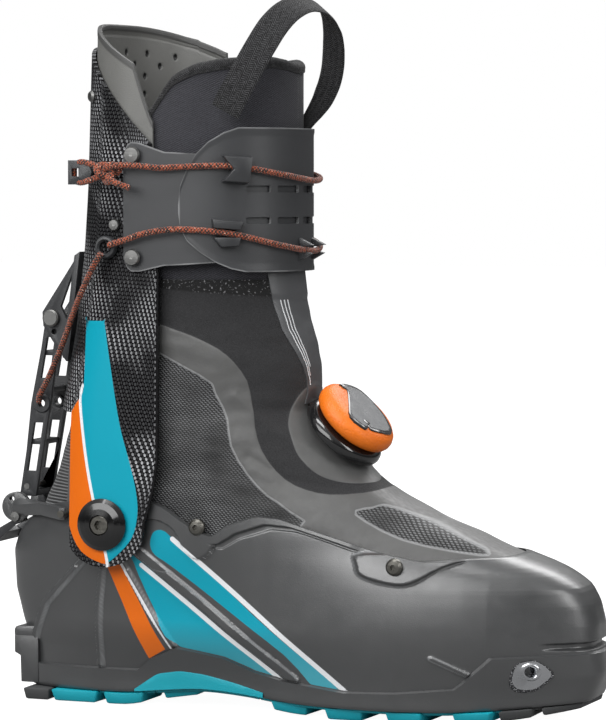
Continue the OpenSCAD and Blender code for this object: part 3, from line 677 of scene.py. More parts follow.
def shell_paint():
    """Grained grey moulding with printed colour fields, and pale highlight lines painted along its rib edges.
    """
    p = Paint("shell_grey", SHELL_GREY, 0.34, Coat_Roughness=0.3)
    base = p.mix(p.noise(30, 3), srgb(50, 51, 52), srgb(60, 61, 62))
    teal = p.mix(p.span(p.mark("height"), 22, 46), TEAL_LIGHT, TEAL)
    orange = p.mix(p.span(p.mark("height"), 26, 48), ORANGE_LOW, ORANGE)
    # Pale lines painted along the edges of the ribs and the front tab as highlights, broken up by noise
    painted_edge_highlight = p.edge(p.mark("bright"), 0.35) * p.span(p.noise(40, 2), 0.3, 0.7, 0.25, 0.6)
    color = p.mix(painted_edge_highlight, base, srgb(176, 178, 180))
    printed = print_fields(p, color, orange, teal)
    p.put("Specular IOR Level", p.blend(printed, 0.9, 0.3))
    p.put("Coat Weight", p.blend(printed, 0.6, 0.1))
    p.put("Roughness", p.span(p.noise(140, 3), 0.3, 0.7, 0.3, 0.4))
    p.bump(p.noise(2400, 2), 0.07)
    return p.mat


def carbon_paint():
    """Twill laminate under a gloss coat, with a coloured film on the pivot arms. The twill's pale beads are
    painted reflections of its tows.
    """
    p = Paint("carbon", DARK, 0.3, Coat_Weight=0.08, Coat_Roughness=0.1)
    lean = math.radians(66)
    u, v = p.mark("across"), p.mark("height")
    along = u * math.cos(lean) + v * -math.sin(lean)
    aside = u * math.sin(lean) + v * math.cos(lean)

    def beads(shift, size):
        row = aside / 2.75 + shift
        step = along / 2.15 + p.floor(row) * 0.37
        a = p.fract(step + shift) - 0.5
        b = p.fract(row) - 0.5
        reach = (a / 0.42) ** 2 + (b / size) ** 2
        return p.span(reach, 1.1, 0.5)

    # The weave's layout is the laminate's own; its pale beads, brighter in noise patches, are painted
    # reflections of the tows
    patch = p.span(p.noise(30, 2), 0.4, 0.62, 0.1, 1.0)
    light = p.most(beads(0.0, 0.26) * patch, beads(0.5, 0.18) * 0.07)
    weave = p.mix(light, srgb(2, 2, 3), srgb(176, 177, 180))
    hem = p.edge(p.mark("hem"), 0.15)
    stitch = p.span(p.sine(v * (TURN / 3.1)), 0.1, 0.5)
    line = p.edge(0.35 - abs(p.mark("hem")), 0.15) * stitch
    weave = p.mix(hem, weave, srgb(20, 20, 21))
    weave = p.mix(line, weave, srgb(112, 112, 114))
    printed = print_fields(p, weave, ORANGE, TEAL)
    p.put("Roughness", p.blend(printed, 0.24, 0.45))
    p.put("Specular IOR Level", p.blend(printed, 0.15, 0.2))
    p.put("Metallic", p.blend(printed, light * 0.25, 0.0))
    relief = light * (1 - printed)
    p.bump(relief * (1 - hem), 0.14)
    return p.mat


def gaiter_paint():
    """Laminated grey cloth, a brushed stretch panel and coarse mesh panels."""
    p = Paint("gaiter", DARK, 0.6, Sheen_Weight=0.12)
    x, z = p.mark("ahead"), p.mark("height")
    # mesh: staggered dashes, in rows that fall towards the toe
    row = (z + x * 0.12) / 0.98
    step = x / 2.1 + (p.floor(row) % 2.0) * 0.5
    cell_a = p.fract(step) - 0.5
    cell_b = p.fract(row) - 0.5
    slope = cell_b + cell_a * 0.5
    reach = (cell_a / 0.4) ** 2 + (slope / 0.3) ** 2
    dash = p.span(reach, 1.25, 0.5)
    # shine: noise patches that brighten the mesh's dashes, a painted sheen
    shine = p.span(p.noise(24, 2), 0.38, 0.7, 0.1, 0.85)
    net = p.mix(dash * shine, srgb(5, 5, 6), srgb(150, 152, 154))
    cloth = p.mix(p.noise(1500, 3), srgb(10, 10, 11), srgb(52, 52, 54))
    film = p.mix(p.noise(60, 4), srgb(70, 70, 70), srgb(88, 88, 87))
    fleck = p.span(p.noise(900, 2), 0.6, 0.68)
    border = p.mix(fleck, srgb(12, 12, 13), srgb(120, 120, 122))
    ribs = p.span(p.sine(z * (TURN / 1.6)), -0.4, 0.9)
    ribbed = p.mix(ribs, srgb(24, 24, 25), srgb(112, 113, 114))
    in_cloth, in_net = p.edge(p.mark("stretch"), 0.2), p.edge(p.mark("net"), 0.2)
    in_border, in_ribs = p.edge(p.mark("border"), 0.5), p.edge(p.mark("ribbed"), 0.2)
    color = p.mix(in_cloth, film, cloth)
    color = p.mix(in_net, color, net)
    hem = p.edge(0.5 - abs(p.mark("net")), 0.2)
    color = p.mix(hem * 0.6, color, srgb(150, 151, 152))
    color = p.mix(in_ribs, color, ribbed)
    color = p.mix(in_border * in_cloth, color, border)
    p.put("Base Color", color)
    rough = p.blend(in_cloth, p.span(p.noise(400, 3), 0.3, 0.7, 0.42, 0.58), 0.92)
    p.put("Roughness", p.blend(in_net, rough, 0.55))
    height = p.blend(in_cloth, p.noise(260, 3) * 0.6, p.noise(1800, 2))
    height = p.blend(in_net, height, dash)
    height = p.blend(in_ribs, height, ribs)
    p.bump(height, 0.3)
    return p.mat


def cloth_paint(name, color, light, rib, lean=0.6):
    """Stretch cloth over foam: fine slanting ribs and a soft sheen."""
    p = Paint(name, color, 0.9, Sheen_Weight=0.2, Specular_IOR_Level=0.3)
    run = p.mark("across") + p.mark("height") * lean
    ribs = p.span(p.sine(run * (TURN / rib)), -1, 1)
    lint = p.noise(1400, 3)
    factor = (ribs * 0.6 + lint) * 0.62
    p.put("Base Color", p.mix(factor, color, light))
    p.bump(ribs + lint, 0.12)
    return p.mat


def webbing_paint(name, color, light, pick):
    """Woven tape: small crosswise picks in a herringbone."""
    p = Paint(name, color, 0.8, Sheen_Weight=0.1, Specular_IOR_Level=0.25)
    u, v = p.mark("across"), p.mark("length")
    fold = abs(p.fract(u / 4.2) - 0.5)
    run = v / pick + fold * 3.0
    picks = p.span(p.sine(run * TURN), -0.6, 0.9)
    p.put("Base Color", p.mix(picks * p.span(p.noise(700, 2), 0.2, 0.8), color, light))
    p.bump(picks, 0.16)
    return p.mat


def cord_paint():
    """Braided cord: dark orange strands with black flecks."""
    p = Paint("cord", srgb(140, 62, 32), 0.7, Sheen_Weight=0.2)
    a, v = p.mark("angle"), p.mark("length")
    one = a * 4.0 + v / BRAID_LAY
    two = a * 4.0 - v / BRAID_LAY
    strands = p.sine(one * TURN) + p.sine(two * TURN)
    fleck = p.span(strands + p.span(p.noise(500, 2), 0.3, 0.7, -1.5, 1.5), 0.0, 0.5)
    pale = p.span(p.noise(1300, 2), 0.62, 0.68)
    rust = p.mix(pale * 0.8, srgb(148, 68, 38), srgb(222, 196, 176))
    p.put("Base Color", p.mix(fleck, rust, srgb(30, 18, 15)))
    p.bump(strands, 0.12)
    return p.mat


def band_paint():
    """Soft grey plastic with a paler edge line painted on as a highlight."""
    p = Paint("band_grey", DARK, 0.42)
    base = p.mix(p.noise(38, 3), srgb(52, 53, 55), srgb(62, 63, 65))
    # A pale line painted along the band's edges as a highlight, broken up by noise
    painted_edge_highlight = p.edge(0.6 - p.mark("edge"), 0.25) * p.span(p.noise(60, 2), 0.3, 0.6)
    p.put("Base Color", p.mix(painted_edge_highlight * 0.6, base, srgb(150, 151, 152)))
    p.bump(p.noise(2400, 2), 0.05)
    return p.mat


def knurled(name):
    """Steel with a coarse cast grain."""
    p = Paint(name, (0.3, 0.3, 0.31, 1), 0.4, Metallic=0.9)
    grain = p.span(p.cells(1300), 0.1, 0.5)
    p.put("Base Color", p.mix(grain, (0.34, 0.34, 0.35, 1), (0.07, 0.07, 0.075, 1)))
    p.bump(grain, 0.35)
    return p.mat


def spoiler_paint():
    """Soft grey plastic with a darker rim, and near black painted in its holes as the shade inside them."""
    p = Paint("spoiler_grey", DARK, 0.5)
    base = p.mix(p.noise(50, 3), srgb(92, 92, 90), srgb(112, 112, 109))
    rim = p.span(p.mark("lip"), 2.6, 3.6)
    color = p.mix(rim, srgb(72, 72, 71), base)
    # The holes are painted near black: painted shade for their depth
    p.put("Base Color", p.mix(p.edge(p.mark("hole"), 0.2), color, srgb(10, 10, 10)))
    p.bump(p.noise(2000, 2), 0.1)
    return p.mat


def knob_paint():
    """Soft-touch orange rubber with small moulded dots."""
    p = Paint("knob_orange", srgb(228, 108, 4), 0.48)
    p.put("Base Color", p.mix(p.noise(60, 3), srgb(214, 98, 0), srgb(238, 122, 14)))
    p.bump(p.span(p.cells(700), 0.15, 0.45), 0.1)
    return p.mat


paints = {
    "shell_grey": shell_paint(),
    "sole_teal": plastic("sole_teal", srgb(0, 152, 168), 0.55, 0.08, 1800),
    "sole_grey": plastic("sole_grey", srgb(62, 63, 64), 0.6, 0.1, 1600),
    "steel": metal("steel", (0.2, 0.2, 0.195, 1), 0.46),
    "dark_screw": metal("dark_screw", (0.16, 0.155, 0.14, 1), 0.36),
    "board": plastic("board", srgb(170, 150, 110), 0.7, 0.12, 900),
    "hard_black": plastic("hard_black", srgb(50, 51, 53), 0.4, 0.06, 2200),
    "dial_black": plastic("dial_black", srgb(20, 20, 21), 0.16, 0.01, 900, Coat_Weight=0.6),
    "spool": plastic("spool", srgb(205, 205, 200), 0.4),
    "dial_grey": plastic("dial_grey", srgb(58, 60, 63), 0.34, 0.03, 2500),
    "washer_black": plastic("washer_black", srgb(8, 8, 9), 0.2, 0.01, 700, Coat_Weight=0.5),
    "bush": plastic("bush", srgb(214, 208, 184), 0.45),
    "spoiler_grey": spoiler_paint(),
    "band_grey": band_paint(),
    "strip": plastic("strip", srgb(78, 79, 81), 0.4, 0.04, 1800),
    "toe_steel": knurled("toe_steel"),
    "chrome": metal("chrome", (0.56, 0.57, 0.59, 1), 0.2, 300),
    "shell_plain": plastic("shell_plain", SHELL_GREY, 0.36, 0.08, 2400, Specular_IOR_Level=0.9,
                           Coat_Weight=0.6, Coat_Roughness=0.3),
    "carbon": carbon_paint(),
    "gaiter": gaiter_paint(),
    "liner": cloth_paint("liner", srgb(11, 11, 14), srgb(74, 74, 80), 2.1, -2.0),
    "footbed": cloth_paint("footbed", srgb(10, 92, 104), srgb(40, 130, 140), 2.0),
    "binding": webbing_paint("binding", srgb(9, 9, 10), srgb(84, 84, 86), 0.9),
    "webbing": webbing_paint("webbing", srgb(9, 9, 10), srgb(82, 82, 84), 1.15),
    "cord": cord_paint(),
    "knob_orange": knob_paint(),
    "white_ink": plastic("white_ink", WHITE_INK, 0.5, 0.01),
}

# ---- Camera, light and floor ----
VIEW_YAW = math.radians(20)
VIEW_RISE = math.radians(3)
VIEW_FROM = 1.6
AIM = Vector((10.5, 0, 175)) * MM
SENSOR = 36.0
VIEW_W = 303.606
SHIFT_X = -0.0146
SHIFT_Y = -0.0025
SKY_LOW = 0.02
SKY_HIGH = 0.7
FLOOR_SHADE = 0.25
FLOOR_GLOW = 0.97
FLOOR_HALF = 9.0
FLOOR_DROP = 0.0005
# Name, place, size and power of each soft light
LIGHTS = [("key", (-0.4, -1.5, 0.92), (1.9, 0.95), 27), ("top", (-0.1, -0.6, 1.7), (0.9, 0.5), 12),
          ("side", (1.7, -0.5, 0.85), (0.5, 0.9), 9), ("rim", (0.3, 1.3, 1.3), (1.2, 0.6), 12)]


def add_camera():
    level = math.cos(VIEW_RISE)
    away = Vector((math.sin(VIEW_YAW) * level, -math.cos(VIEW_YAW) * level, math.sin(VIEW_RISE)))
    data = bpy.data.cameras.new("camera")
    data.sensor_fit = "HORIZONTAL"
    data.sensor_width = SENSOR
    data.lens = VIEW_FROM / (VIEW_W * MM) * SENSOR
    data.shift_x = SHIFT_X
    data.shift_y = SHIFT_Y
    camera = bpy.data.objects.new("camera", data)
    camera.location = AIM + away * VIEW_FROM
    camera.rotation_euler = away.to_track_quat("Z", "Y").to_euler()
    bpy.context.scene.collection.objects.link(camera)
    bpy.context.scene.camera = camera


def add_light(name, place, size, power):
    data = bpy.data.lights.new(name, "AREA")
    data.shape = "RECTANGLE"
    data.size, data.size_y = size
    data.energy = power
    light = bpy.data.objects.new(name, data)
    light.location = place
    light.rotation_euler = (Vector(place) - AIM).to_track_quat("Z", "Y").to_euler()
    bpy.context.scene.collection.objects.link(light)


def sky():
    """Soft studio sky: bright overhead and dim at the horizon, with a white backdrop for the camera."""
    world = bpy.data.worlds.new("studio")
    world.use_nodes = True
    tree = world.node_tree
    back = tree.nodes["Background"]
    back.inputs["Color"].default_value = (1, 1, 1, 1)
    kinds = ("TexCoord", "SeparateXYZ", "MapRange", "LightPath", "Mix")
    made = {key: tree.nodes.new("ShaderNode" + key) for key in kinds}
    pick = made["Mix"]
    tree.links.new(made["TexCoord"].outputs["Generated"], made["SeparateXYZ"].inputs[0])
    tree.links.new(made["SeparateXYZ"].outputs["Z"], made["MapRange"].inputs["Value"])
    for key, value in (("From Min", 0.0), ("From Max", 0.9), ("To Min", SKY_LOW), ("To Max", SKY_HIGH)):
        made["MapRange"].inputs[key].default_value = value
    tree.links.new(made["LightPath"].outputs["Is Camera Ray"], pick.inputs[0])
    tree.links.new(made["MapRange"].outputs["Result"], pick.inputs[2])
    pick.inputs[3].default_value = 1.0
    tree.links.new(pick.outputs[0], back.inputs["Strength"])
    return world


def add_stage():
    scene = bpy.context.scene
    scene.view_settings.view_transform = "Standard"
    scene.world = sky()
    for light in LIGHTS:
        add_light(*light)
    mesh = bpy.data.meshes.new("floor")
    corners = [(x * FLOOR_HALF, y * FLOOR_HALF, 0) for x, y in ((-1, -1), (1, -1), (1, 1), (-1, 1))]
    mesh.from_pydata(corners, [], [(0, 1, 2, 3)])
    floor = bpy.data.objects.new("floor", mesh)
    scene.collection.objects.link(floor)
    floor.location.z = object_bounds()[0].z - FLOOR_DROP
    paper = Paint("floor", (FLOOR_SHADE, FLOOR_SHADE, FLOOR_SHADE, 1), 0.9)
    paper.put("Emission Color", (1, 1, 1, 1))
    seen = Value(paper, paper.node("LightPath").outputs["Is Camera Ray"])
    paper.put("Emission Strength", seen * FLOOR_GLOW)
    mesh.materials.append(paper.mat)


add_camera()
add_stage()

# ---- Cords, which the boot holds all the way ----
UPPER_RUN = [[-92, 270], [-60, 271], [-30, 267], [0, 264], [30, 266], [60, 269], [92, 269]]
LOWER_RUN = [[92, 235], [60, 236], [30, 232], [0, 229], [-30, 232], [-60, 238], [-84, 240]]
LOWER_END = [[80, -53.2, 238], [70, -52.7, 235], [60, -52.3, 232]]
LEVER_RUN = [[56, -52.3, 228], [50, -50, 220], [38, -41, 203], [25, -30, 182], [13, -21, 164],
             [6, -16.4, 155], [4, -13.6, 151]]
CORD_LIFT = 2.9
CORD_STEP = 0.5
KNOT_AT = (60.0, -52.6, 268.2)
KNOT_TAIL = [(60, -54, 265.5), (66, -55.6, 262.6), (72.6, -55, 260.4)]
KNOT_LEAD = [(60, -54, 270), (68, -54.8, 271.5), (78, -54.6, 271), (88, -53.8, 270)]
HOOK_LOOP = [(57, -53, 270), (50, -52.5, 272.4), (44, -50.5, 273), (40.5, -48.8, 271), (39.8, -48.2, 268),
             (40.5, -48.8, 264.6), (44, -50.5, 263), (50, -52.5, 264), (57, -53, 266.6)]


def braid(angle, length):
    one = np.sin(4 * angle + length * TURN / BRAID_LAY)
    two = np.sin(4 * angle - length * TURN / BRAID_LAY)
    return 0.09 * (one * one + two * two - 1)


def on_run(run):
    return [band_point(float(a), float(z), -CORD_LIFT).tolist() for a, z in run]


def cord_mesh(name, path):
    return tube_mesh(name, even(path, CORD_STEP), CORD_D / 2, 16, paints["cord"], braid)


def add_cords():
    ride_like(cord_mesh("cord_upper_braid", curve(on_run(UPPER_RUN), 12)), "cord_upper")
    ride_like(cord_mesh("cord_lower_braid", curve(on_run(LOWER_RUN) + LOWER_END, 12)), "cord_lower")
    t = np.linspace(0, TURN, 120)
    knot = np.stack([(np.sin(t) + 2 * np.sin(2 * t)) * 2.1, np.sin(3 * t) * 1.7,
                     (np.cos(t) - 2 * np.cos(2 * t)) * 1.75], -1) + KNOT_AT
    ride_like(cord_mesh("cord_knot_braid", knot), "cord_knot")
    for name, path in (("cord_tail", KNOT_TAIL), ("cord_lead", KNOT_LEAD), ("cord_loop", HOOK_LOOP)):
        piece = cord_mesh(name, curve(path, 10))
        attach(piece, "cuff")
    pull = cord_mesh("lever_cord_braid", curve(LEVER_RUN, 12))
    to_row(LEVER_RUN[3])[0]
    to_row(LEVER_RUN[-1])[0]
    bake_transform(pull)
    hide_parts("lever_cord")


add_cords()

# ---- Lower shell ----
SHELL_LOW = 11.7
# Values of the marks where nothing is printed
FAR = -9.0
PLAIN = 60.0
LEDGE = [(-14, 17.5), (67, 18.5), (75, 25), (91, 31.5), (115, 27.5), (131, 21.5), (148, 18), (180, 14.5),
         (207, 15.5), (234, 18), (241, 24.5), (252, 33.5), (271, 34.3), (300, 35.5)]
RIBS = [([(43, 77), (15, 50), (6, 31)], 1.6, 2.0), ([(51, 72), (47.8, 52), (46, 18)], 1.4, 1.9),
        ([(62.5, 73), (76, 49.5), (89, 31)], 1.5, 1.6), ([(72, 79), (153, 18.5)], 2.4, 2.2),
        ([(224, 33), (241, 25)], 1.1, 1.4)]
LEDGE_OUT = 2.2
CUFF_SWEEP = 62.0
SWEEP_ROOM = 1.15
SOCKET_AT = (268.0, 26.8)
TAB_BACK = [(74, 106), (89, 105), (98, 101.5), (106, 95), (114, 88.5), (111, 80), (104, 76.5), (97, 80.5),
            (91.5, 90.5), (84, 95), (74, 97)]
TAB_FRONT = [(188, 84), (184.5, 76), (189, 70.5), (204, 67), (214, 68), (227, 75.5), (240, 82)]
SHELL_ORANGE = [(51.8, 73), (60.4, 72), (82.8, 30), (73, 24.5)]
SHELL_TEAL = [[(68, 74), (79, 49.5), (91.5, 32), (131, 21.8), (144, 18.5), (72, 74.5)],
              [(78, 83), (79.5, 88.8), (83, 90.8), (86.5, 90), (90.5, 86.8), (132, 51), (180, 13),
               (166, 13.5), (148.5, 31.4), (119.2, 51.8), (89.5, 72.5), (80.5, 78)]]
SHELL_WHITE = [([(62, 72), (87, 30.5)], 1.15), ([(72.5, 72.5), (145.5, 18.3)], 1.2),
               ([(90.5, 86.5), (180.5, 14.5)], 1.3)]


def rim_height(t):
    return soft(foot_point(np.full(np.shape(t), 84.0), t, 0)[..., 0], RIM_Z, 2)


def ledge_level(t):
    """Height of the ledge above the sole's side wall at each angle, before the sole's rise."""
    x = foot_point(np.full(t.shape, 28.0), t, 0.0)[..., 0]
    level = lookup(x, LEDGE)
    z = level
    for _ in range(4):
        z = level - rocker(x, z)
    return z


def shell_relief(x, y, z, rim, over):
    """Height of the moulded details over the plain shell. over is the height above the ledge."""
    raised = (1 - ease((over + 0.3) / 0.6)) * LEDGE_OUT
    above = ramp(over, 1.2)
    for path, half, height in RIBS:
        raised = raised + above * ridge(line_distance(x, z, path), half, height, 0.4)
    below = rim - z
    lip = ridge(np.abs(below - 1.6), 2.0, 1.3, 0.4) - ridge(np.abs(below - 5.0), 1.0, 0.7, 0.4)
    ahead = ease((x - 106) / 6) * (1 - ease((x - 180) / 10))
    raised = raised + lip * ahead
    raised = raised + ramp(area_depth(x, z, rounded(TAB_BACK)), 0.9) * 1.7
    raised = raised + ramp(area_depth(x, z, rounded(TAB_FRONT)), 2.4) * 3.0
    collar = ridge(line_distance(x, z, [(70, 101), (88, 100)]), 0.5, 0.9, 0.5)
    groove = ridge(np.abs(z - 38.6), 1.5, 2.8, 0.7) * ease((x - 272) / 14)
    socket = 1 - ease((np.hypot(x - SOCKET_AT[0], z - SOCKET_AT[1]) - 3.4) / 0.8)
    under_cuff = (np.hypot(x - ANKLE_X, z - ANKLE_Z) < CUFF_SWEEP) & (z > 70)
    raised = np.where(under_cuff, np.minimum(raised + collar, SWEEP_ROOM), raised + collar)
    return raised - groove - 3.4 * socket * (np.abs(y) > 15)


def bright_lines(x, z):
    """Pale lines along the edges of the raised ribs and the front tab, painted there as highlights."""
    edges = [0.3 - np.abs(line_distance(x, z, path) - half) for path, half, _ in RIBS]
    tab = 0.35 - np.abs(area_depth(x, z, rounded(TAB_FRONT)) - 0.6)
    return np.maximum.reduce(edges + [tab])


def shell_ring_rows(t):
    rim, ledge = rim_height(t), ledge_level(t)
    stops = [(np.full(t.shape, SHELL_LOW), 0), (ledge - 1.0, 14), (ledge + 0.8, 8), (rim - 7, 118), (rim, 26)]
    rows, marks = [], {key: [] for key in ("height", "orange", "teal", "white", "bright")}
    for (z0, _), (z1, count) in zip(stops, stops[1:]):
        for f in np.arange(count) / count if z1 is not rim else np.linspace(0, 1, count):
            z = mix(z0, z1, f)
            p = foot_point(z, t, 0.0)
            x, zz = p[:, 0], p[:, 2]
            rows.append(foot_point(z, t, -shell_relief(x, p[:, 1], zz, rim, z - ledge)))
            marks["height"].append(zz)
            over = z - ledge - 0.7
            teal = np.maximum.reduce([area_depth(x, zz, rounded(area, 3)) for area in SHELL_TEAL])
            white = np.maximum.reduce([w - line_distance(x, zz, path) for path, w in SHELL_WHITE])
            marks["orange"].append(np.minimum(area_depth(x, zz, SHELL_ORANGE), over))
            marks["teal"].append(np.minimum(teal, over))
            marks["white"].append(np.minimum(white, over))
            marks["bright"].append(np.minimum(bright_lines(x, zz), over))
    return rows, marks


def even_angles(n):
    """Angles round the foot that keep the points about evenly spaced along its length."""
    t = np.linspace(0, TURN, 4001)
    p = foot_point(np.full(t.shape, 55.0), t, 0.0)
    run = run_along(p)
    half = np.interp(np.linspace(0, run[-1], n, endpoint=False), run, t)[: n // 2 + 1]
    return np.concatenate([half, TURN - half[1:-1][::-1]])


def add_shell():
    n = 900
    t = even_angles(n)
    rows, marks = shell_ring_rows(t)
    rim = rim_height(t)
    steps = (0, 0.12, 0.3, 0.55, 0.8, 1)
    edge = [foot_point(rim + 0.35, t, 0.6), foot_point(rim + 0.4, t, SHELL_WALL - 0.8)]
    inner = [foot_point(mix(rim - 0.2, 15.0, f), t, SHELL_WALL) for f in steps]
    extra = len(edge) + len(inner)
    for key in marks:
        fill = PLAIN if key == "height" else FAR
        marks[key] = np.array(marks[key] + [np.full(n, fill)] * extra)
    shell = ring_mesh("lower_shell_moulding", rows + edge + inner, paints["shell_grey"], marks, sharp=50)
    ride_like(shell, "lower_shell")


def add_sole_plate():
    n = 640
    t = even_angles(n)
    rows = []
    for z, inset in ((6.2, 2.2), (6.3, 0.9), (6.9, 0.2), (8.2, 0), (10, 0), (SHELL_LOW, 0)):
        heights = np.full(n, z)
        x, y, zz = foot_point(heights, t, 0.0).T
        relief = shell_relief(x, y, zz, rim_height(t), heights - ledge_level(t)) - inset
        rows.append(foot_point(heights, t, -relief))
    marks = {"height": np.full((len(rows), n), PLAIN)}
    marks.update({key: np.full((len(rows), n), FAR) for key in ("orange", "teal", "white", "bright")})
    plate = ring_mesh("sole_plate_rand", rows, paints["shell_grey"], marks, sharp=50)
    ride_like(plate, "sole_plate")


add_shell()
add_sole_plate()


# ---- Gaiter and tongue strip ----
STRETCH = [(80, 193), (90, 190.5), (103.5, 185.5), (116, 178), (125.6, 165), (128.3, 148), (134, 131),
           (146, 117), (162, 110.5), (178.5, 110), (192, 112.5), (240, 125), (240, 240), (60, 240), (60, 193)]
NET_SIDE = [(60, 175), (103, 168), (111, 158.5), (116.6, 146), (119.2, 133), (127.6, 119.4), (138, 109),
            (149.5, 101.5), (152, 90), (60, 60)]
NET_TOE = [(181, 100.5), (188, 103.5), (198, 103), (243, 83.6), (236, 82.5), (205, 89)]
STRIP_HALF = [[153, 15], [158, 12.5], [165, 13], [175, 19], [190, 28], [212, 32], [222, 33]]
STRIP_LINE = 0.006
GAITER_TOP = 215.0
LEVER_ROOM = 2.2
DIAL_FIELD = 29.5
DIAL_AT = np.array([164.8, -3.0, 137.2])
# Two places up from the split between boot and cuff
SPLIT_AT = np.array([100.0, 0.0, 136.0])
SPLIT_UP = np.array([-0.6, 0.0, 0.8])
SOFT_START = to_row(SPLIT_AT + SPLIT_UP * 12)[0]
SOFT_END = to_row(SPLIT_AT + SPLIT_UP * 42)[0]


def gaiter_marks(p):
    x, z = p[..., 0], p[..., 2]
    from_dial = np.linalg.norm(p - DIAL_AT, axis=-1)
    stretch = np.minimum(area_depth(x, z, rounded(STRETCH, 3)), from_dial - DIAL_FIELD)
    return {"ahead": x, "height": z, "stretch": stretch,
            "net": np.maximum(area_depth(x, z, rounded(NET_SIDE, 2)), area_depth(x, z, rounded(NET_TOE, 3))),
            "border": z - (GAITER_TOP - 9 + 0.08 * (140 - x)), "ribbed": 26 - x}


def crumple(p, scale, height):
    """Slow folds in cloth."""
    flat = p.reshape(-1, 3) / scale
    return np.array([noise.noise(Vector(q)) for q in flat]).reshape(p.shape[:-1]) * height


def gaiter_relief(p, marks):
    x, z = p[..., 0], p[..., 2]
    folds = crumple(p * [1, 1, 1.6], 26, 0.9) + crumple(p * [0.7, 1, 1.9], 11, 0.35)
    instep = ridge(line_distance(x, z, [(120, 158), (136, 141), (153, 133)]), 1, 1.5, 5)
    crease = ridge(line_distance(x, z, [(128, 128), (146, 117.5), (170, 112.5)]), 0.5, 1.4, 4)
    film = 1 - ramp(marks["stretch"] + 0.6, 1.2)
    cuff_room = 1 - ease((z - 190) / 20)
    lever_room = ease((30 - x) / 14) * ease((z - 84) / 10) * (1 - ease((z - 160) / 20))
    return (folds * cuff_room * 1.1 - LEVER_ROOM * lever_room + instep - crease + 0.5 * film
            - 0.35 * ramp(marks["net"] + 0.4, 0.8) + 0.5 * ramp(marks["border"] + 1, 2))


def add_gaiter():
    zz, tt = np.meshgrid(np.linspace(66, GAITER_TOP, 170), ring_angles(420), indexing="ij")
    base = foot_point(zz, tt, GAITER_IN)
    marks = gaiter_marks(base)
    rise = gaiter_relief(base, marks) * ease((zz - 74) / 14)
    outer = foot_point(zz, tt, GAITER_IN - rise)
    inner = foot_point(zz, tt, GAITER_IN - rise + GAITER_WALL)[::-1][::4]
    marks = {k: np.concatenate([v, v[::-1][::4]]) for k, v in marks.items()}
    sock = ring_mesh("gaiter_sock", np.concatenate([outer, inner]), paints["gaiter"], marks, loop=True)
    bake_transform(sock)
    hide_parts("gaiter_lower", "gaiter_stretch")


def strip_point(z, t, lift):
    """Point on the gaiter's front, lifted off its face."""
    base = foot_point(z, t, GAITER_IN)
    return foot_point(z, t, GAITER_IN - gaiter_relief(base, gaiter_marks(base)) - lift)


def add_tongue_strip():
    heights = np.linspace(153, GAITER_TOP + 6, 60)
    half = lookup(heights, STRIP_HALF)
    side = np.linspace(-1, 1, 40)
    t = np.radians(half[:, None] * side[None, :])
    zz = np.repeat(heights[:, None], side.size, 1)
    edge = 0.25 * (1 - np.abs(side[None, :]) ** 6)
    outer, inner = strip_point(zz, t, 0.6 + edge), strip_point(zz, t, 0.05)
    strip = sheet_mesh("tongue_strip_film", outer, inner, paints["strip"])
    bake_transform(strip)
    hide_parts("tongue_strip")
    for k, share in enumerate((-0.82, -0.72, -0.62)):
        part = slice(8 + 4 * k, 46)
        tt, hh = np.radians(half * share)[part], heights[part]
        outer, inner = [np.stack([strip_point(hh, tt + w, lift) for w in (-STRIP_LINE, STRIP_LINE)], 1)
                        for lift in (0.98, 0.82)]
        line = sheet_mesh(f"strip_line_{k}", outer, inner, paints["white_ink"])
        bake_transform(line)


add_gaiter()
add_tongue_strip()


# ---- Liner, binding, footbed and pull strap ----
FOOT_TOP = 216.0
SHIN_FROM = 200.0
SHIN_FULL = 222.0
TAPE_DEPTH = 3.4


def liner_stack(count, inset, t):
    """Rings of the liner, from the foot's shape at the bottom to the shin's at the top."""
    rows = []
    for f in np.linspace(0, 1, count):
        probe = shin_point(0.0, t, 0.0)[..., 0]
        z = mix(LINER_FLOOR + (inset - LINER_IN), soft(probe, BINDING_Z, 3) - 4.5, f)
        at_foot = foot_point(np.minimum(z, FOOT_TOP), t, 0.0)
        tuck = toe_tuck(at_foot[..., 0], at_foot[..., 2])
        foot = foot_point(np.minimum(z, FOOT_TOP), t, inset + tuck)
        shin = shin_point(z, t, inset - LINER_IN)
        w = ease((z - SHIN_FROM) / (SHIN_FULL - SHIN_FROM))[..., None]
        p = mix(foot, shin, w)
        p[..., 2] = mix(foot[..., 2], z, w[..., 0])
        rows.append(p)
    return np.array(rows)


def add_liner():
    t = ring_angles(220)
    outer = liner_stack(190, LINER_IN, t)
    pad = crumple(outer * [1, 1, 0.5], 30, 0.5) * ease((outer[..., 2] - 240) / 30)
    centre = outer.mean(axis=1, keepdims=True)
    out = outer - centre
    out[..., 2] = 0
    out /= np.maximum(np.linalg.norm(out, axis=-1, keepdims=True), 1e-6)
    outer = outer + out * (pad - 0.5)[..., None]
    inner = liner_stack(60, LINER_IN + LINER_WALL + 1.5, t)[::-1]
    rows = np.concatenate([outer, inner])
    run = np.tile(t * 46, (len(rows), 1))
    liner = ring_mesh("liner_boot", rows, paints["liner"], {"across": run, "height": rows[..., 2]}, sharp=60)
    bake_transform(liner)
    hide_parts("liner_foot", "liner_ankle", "liner_cuff")


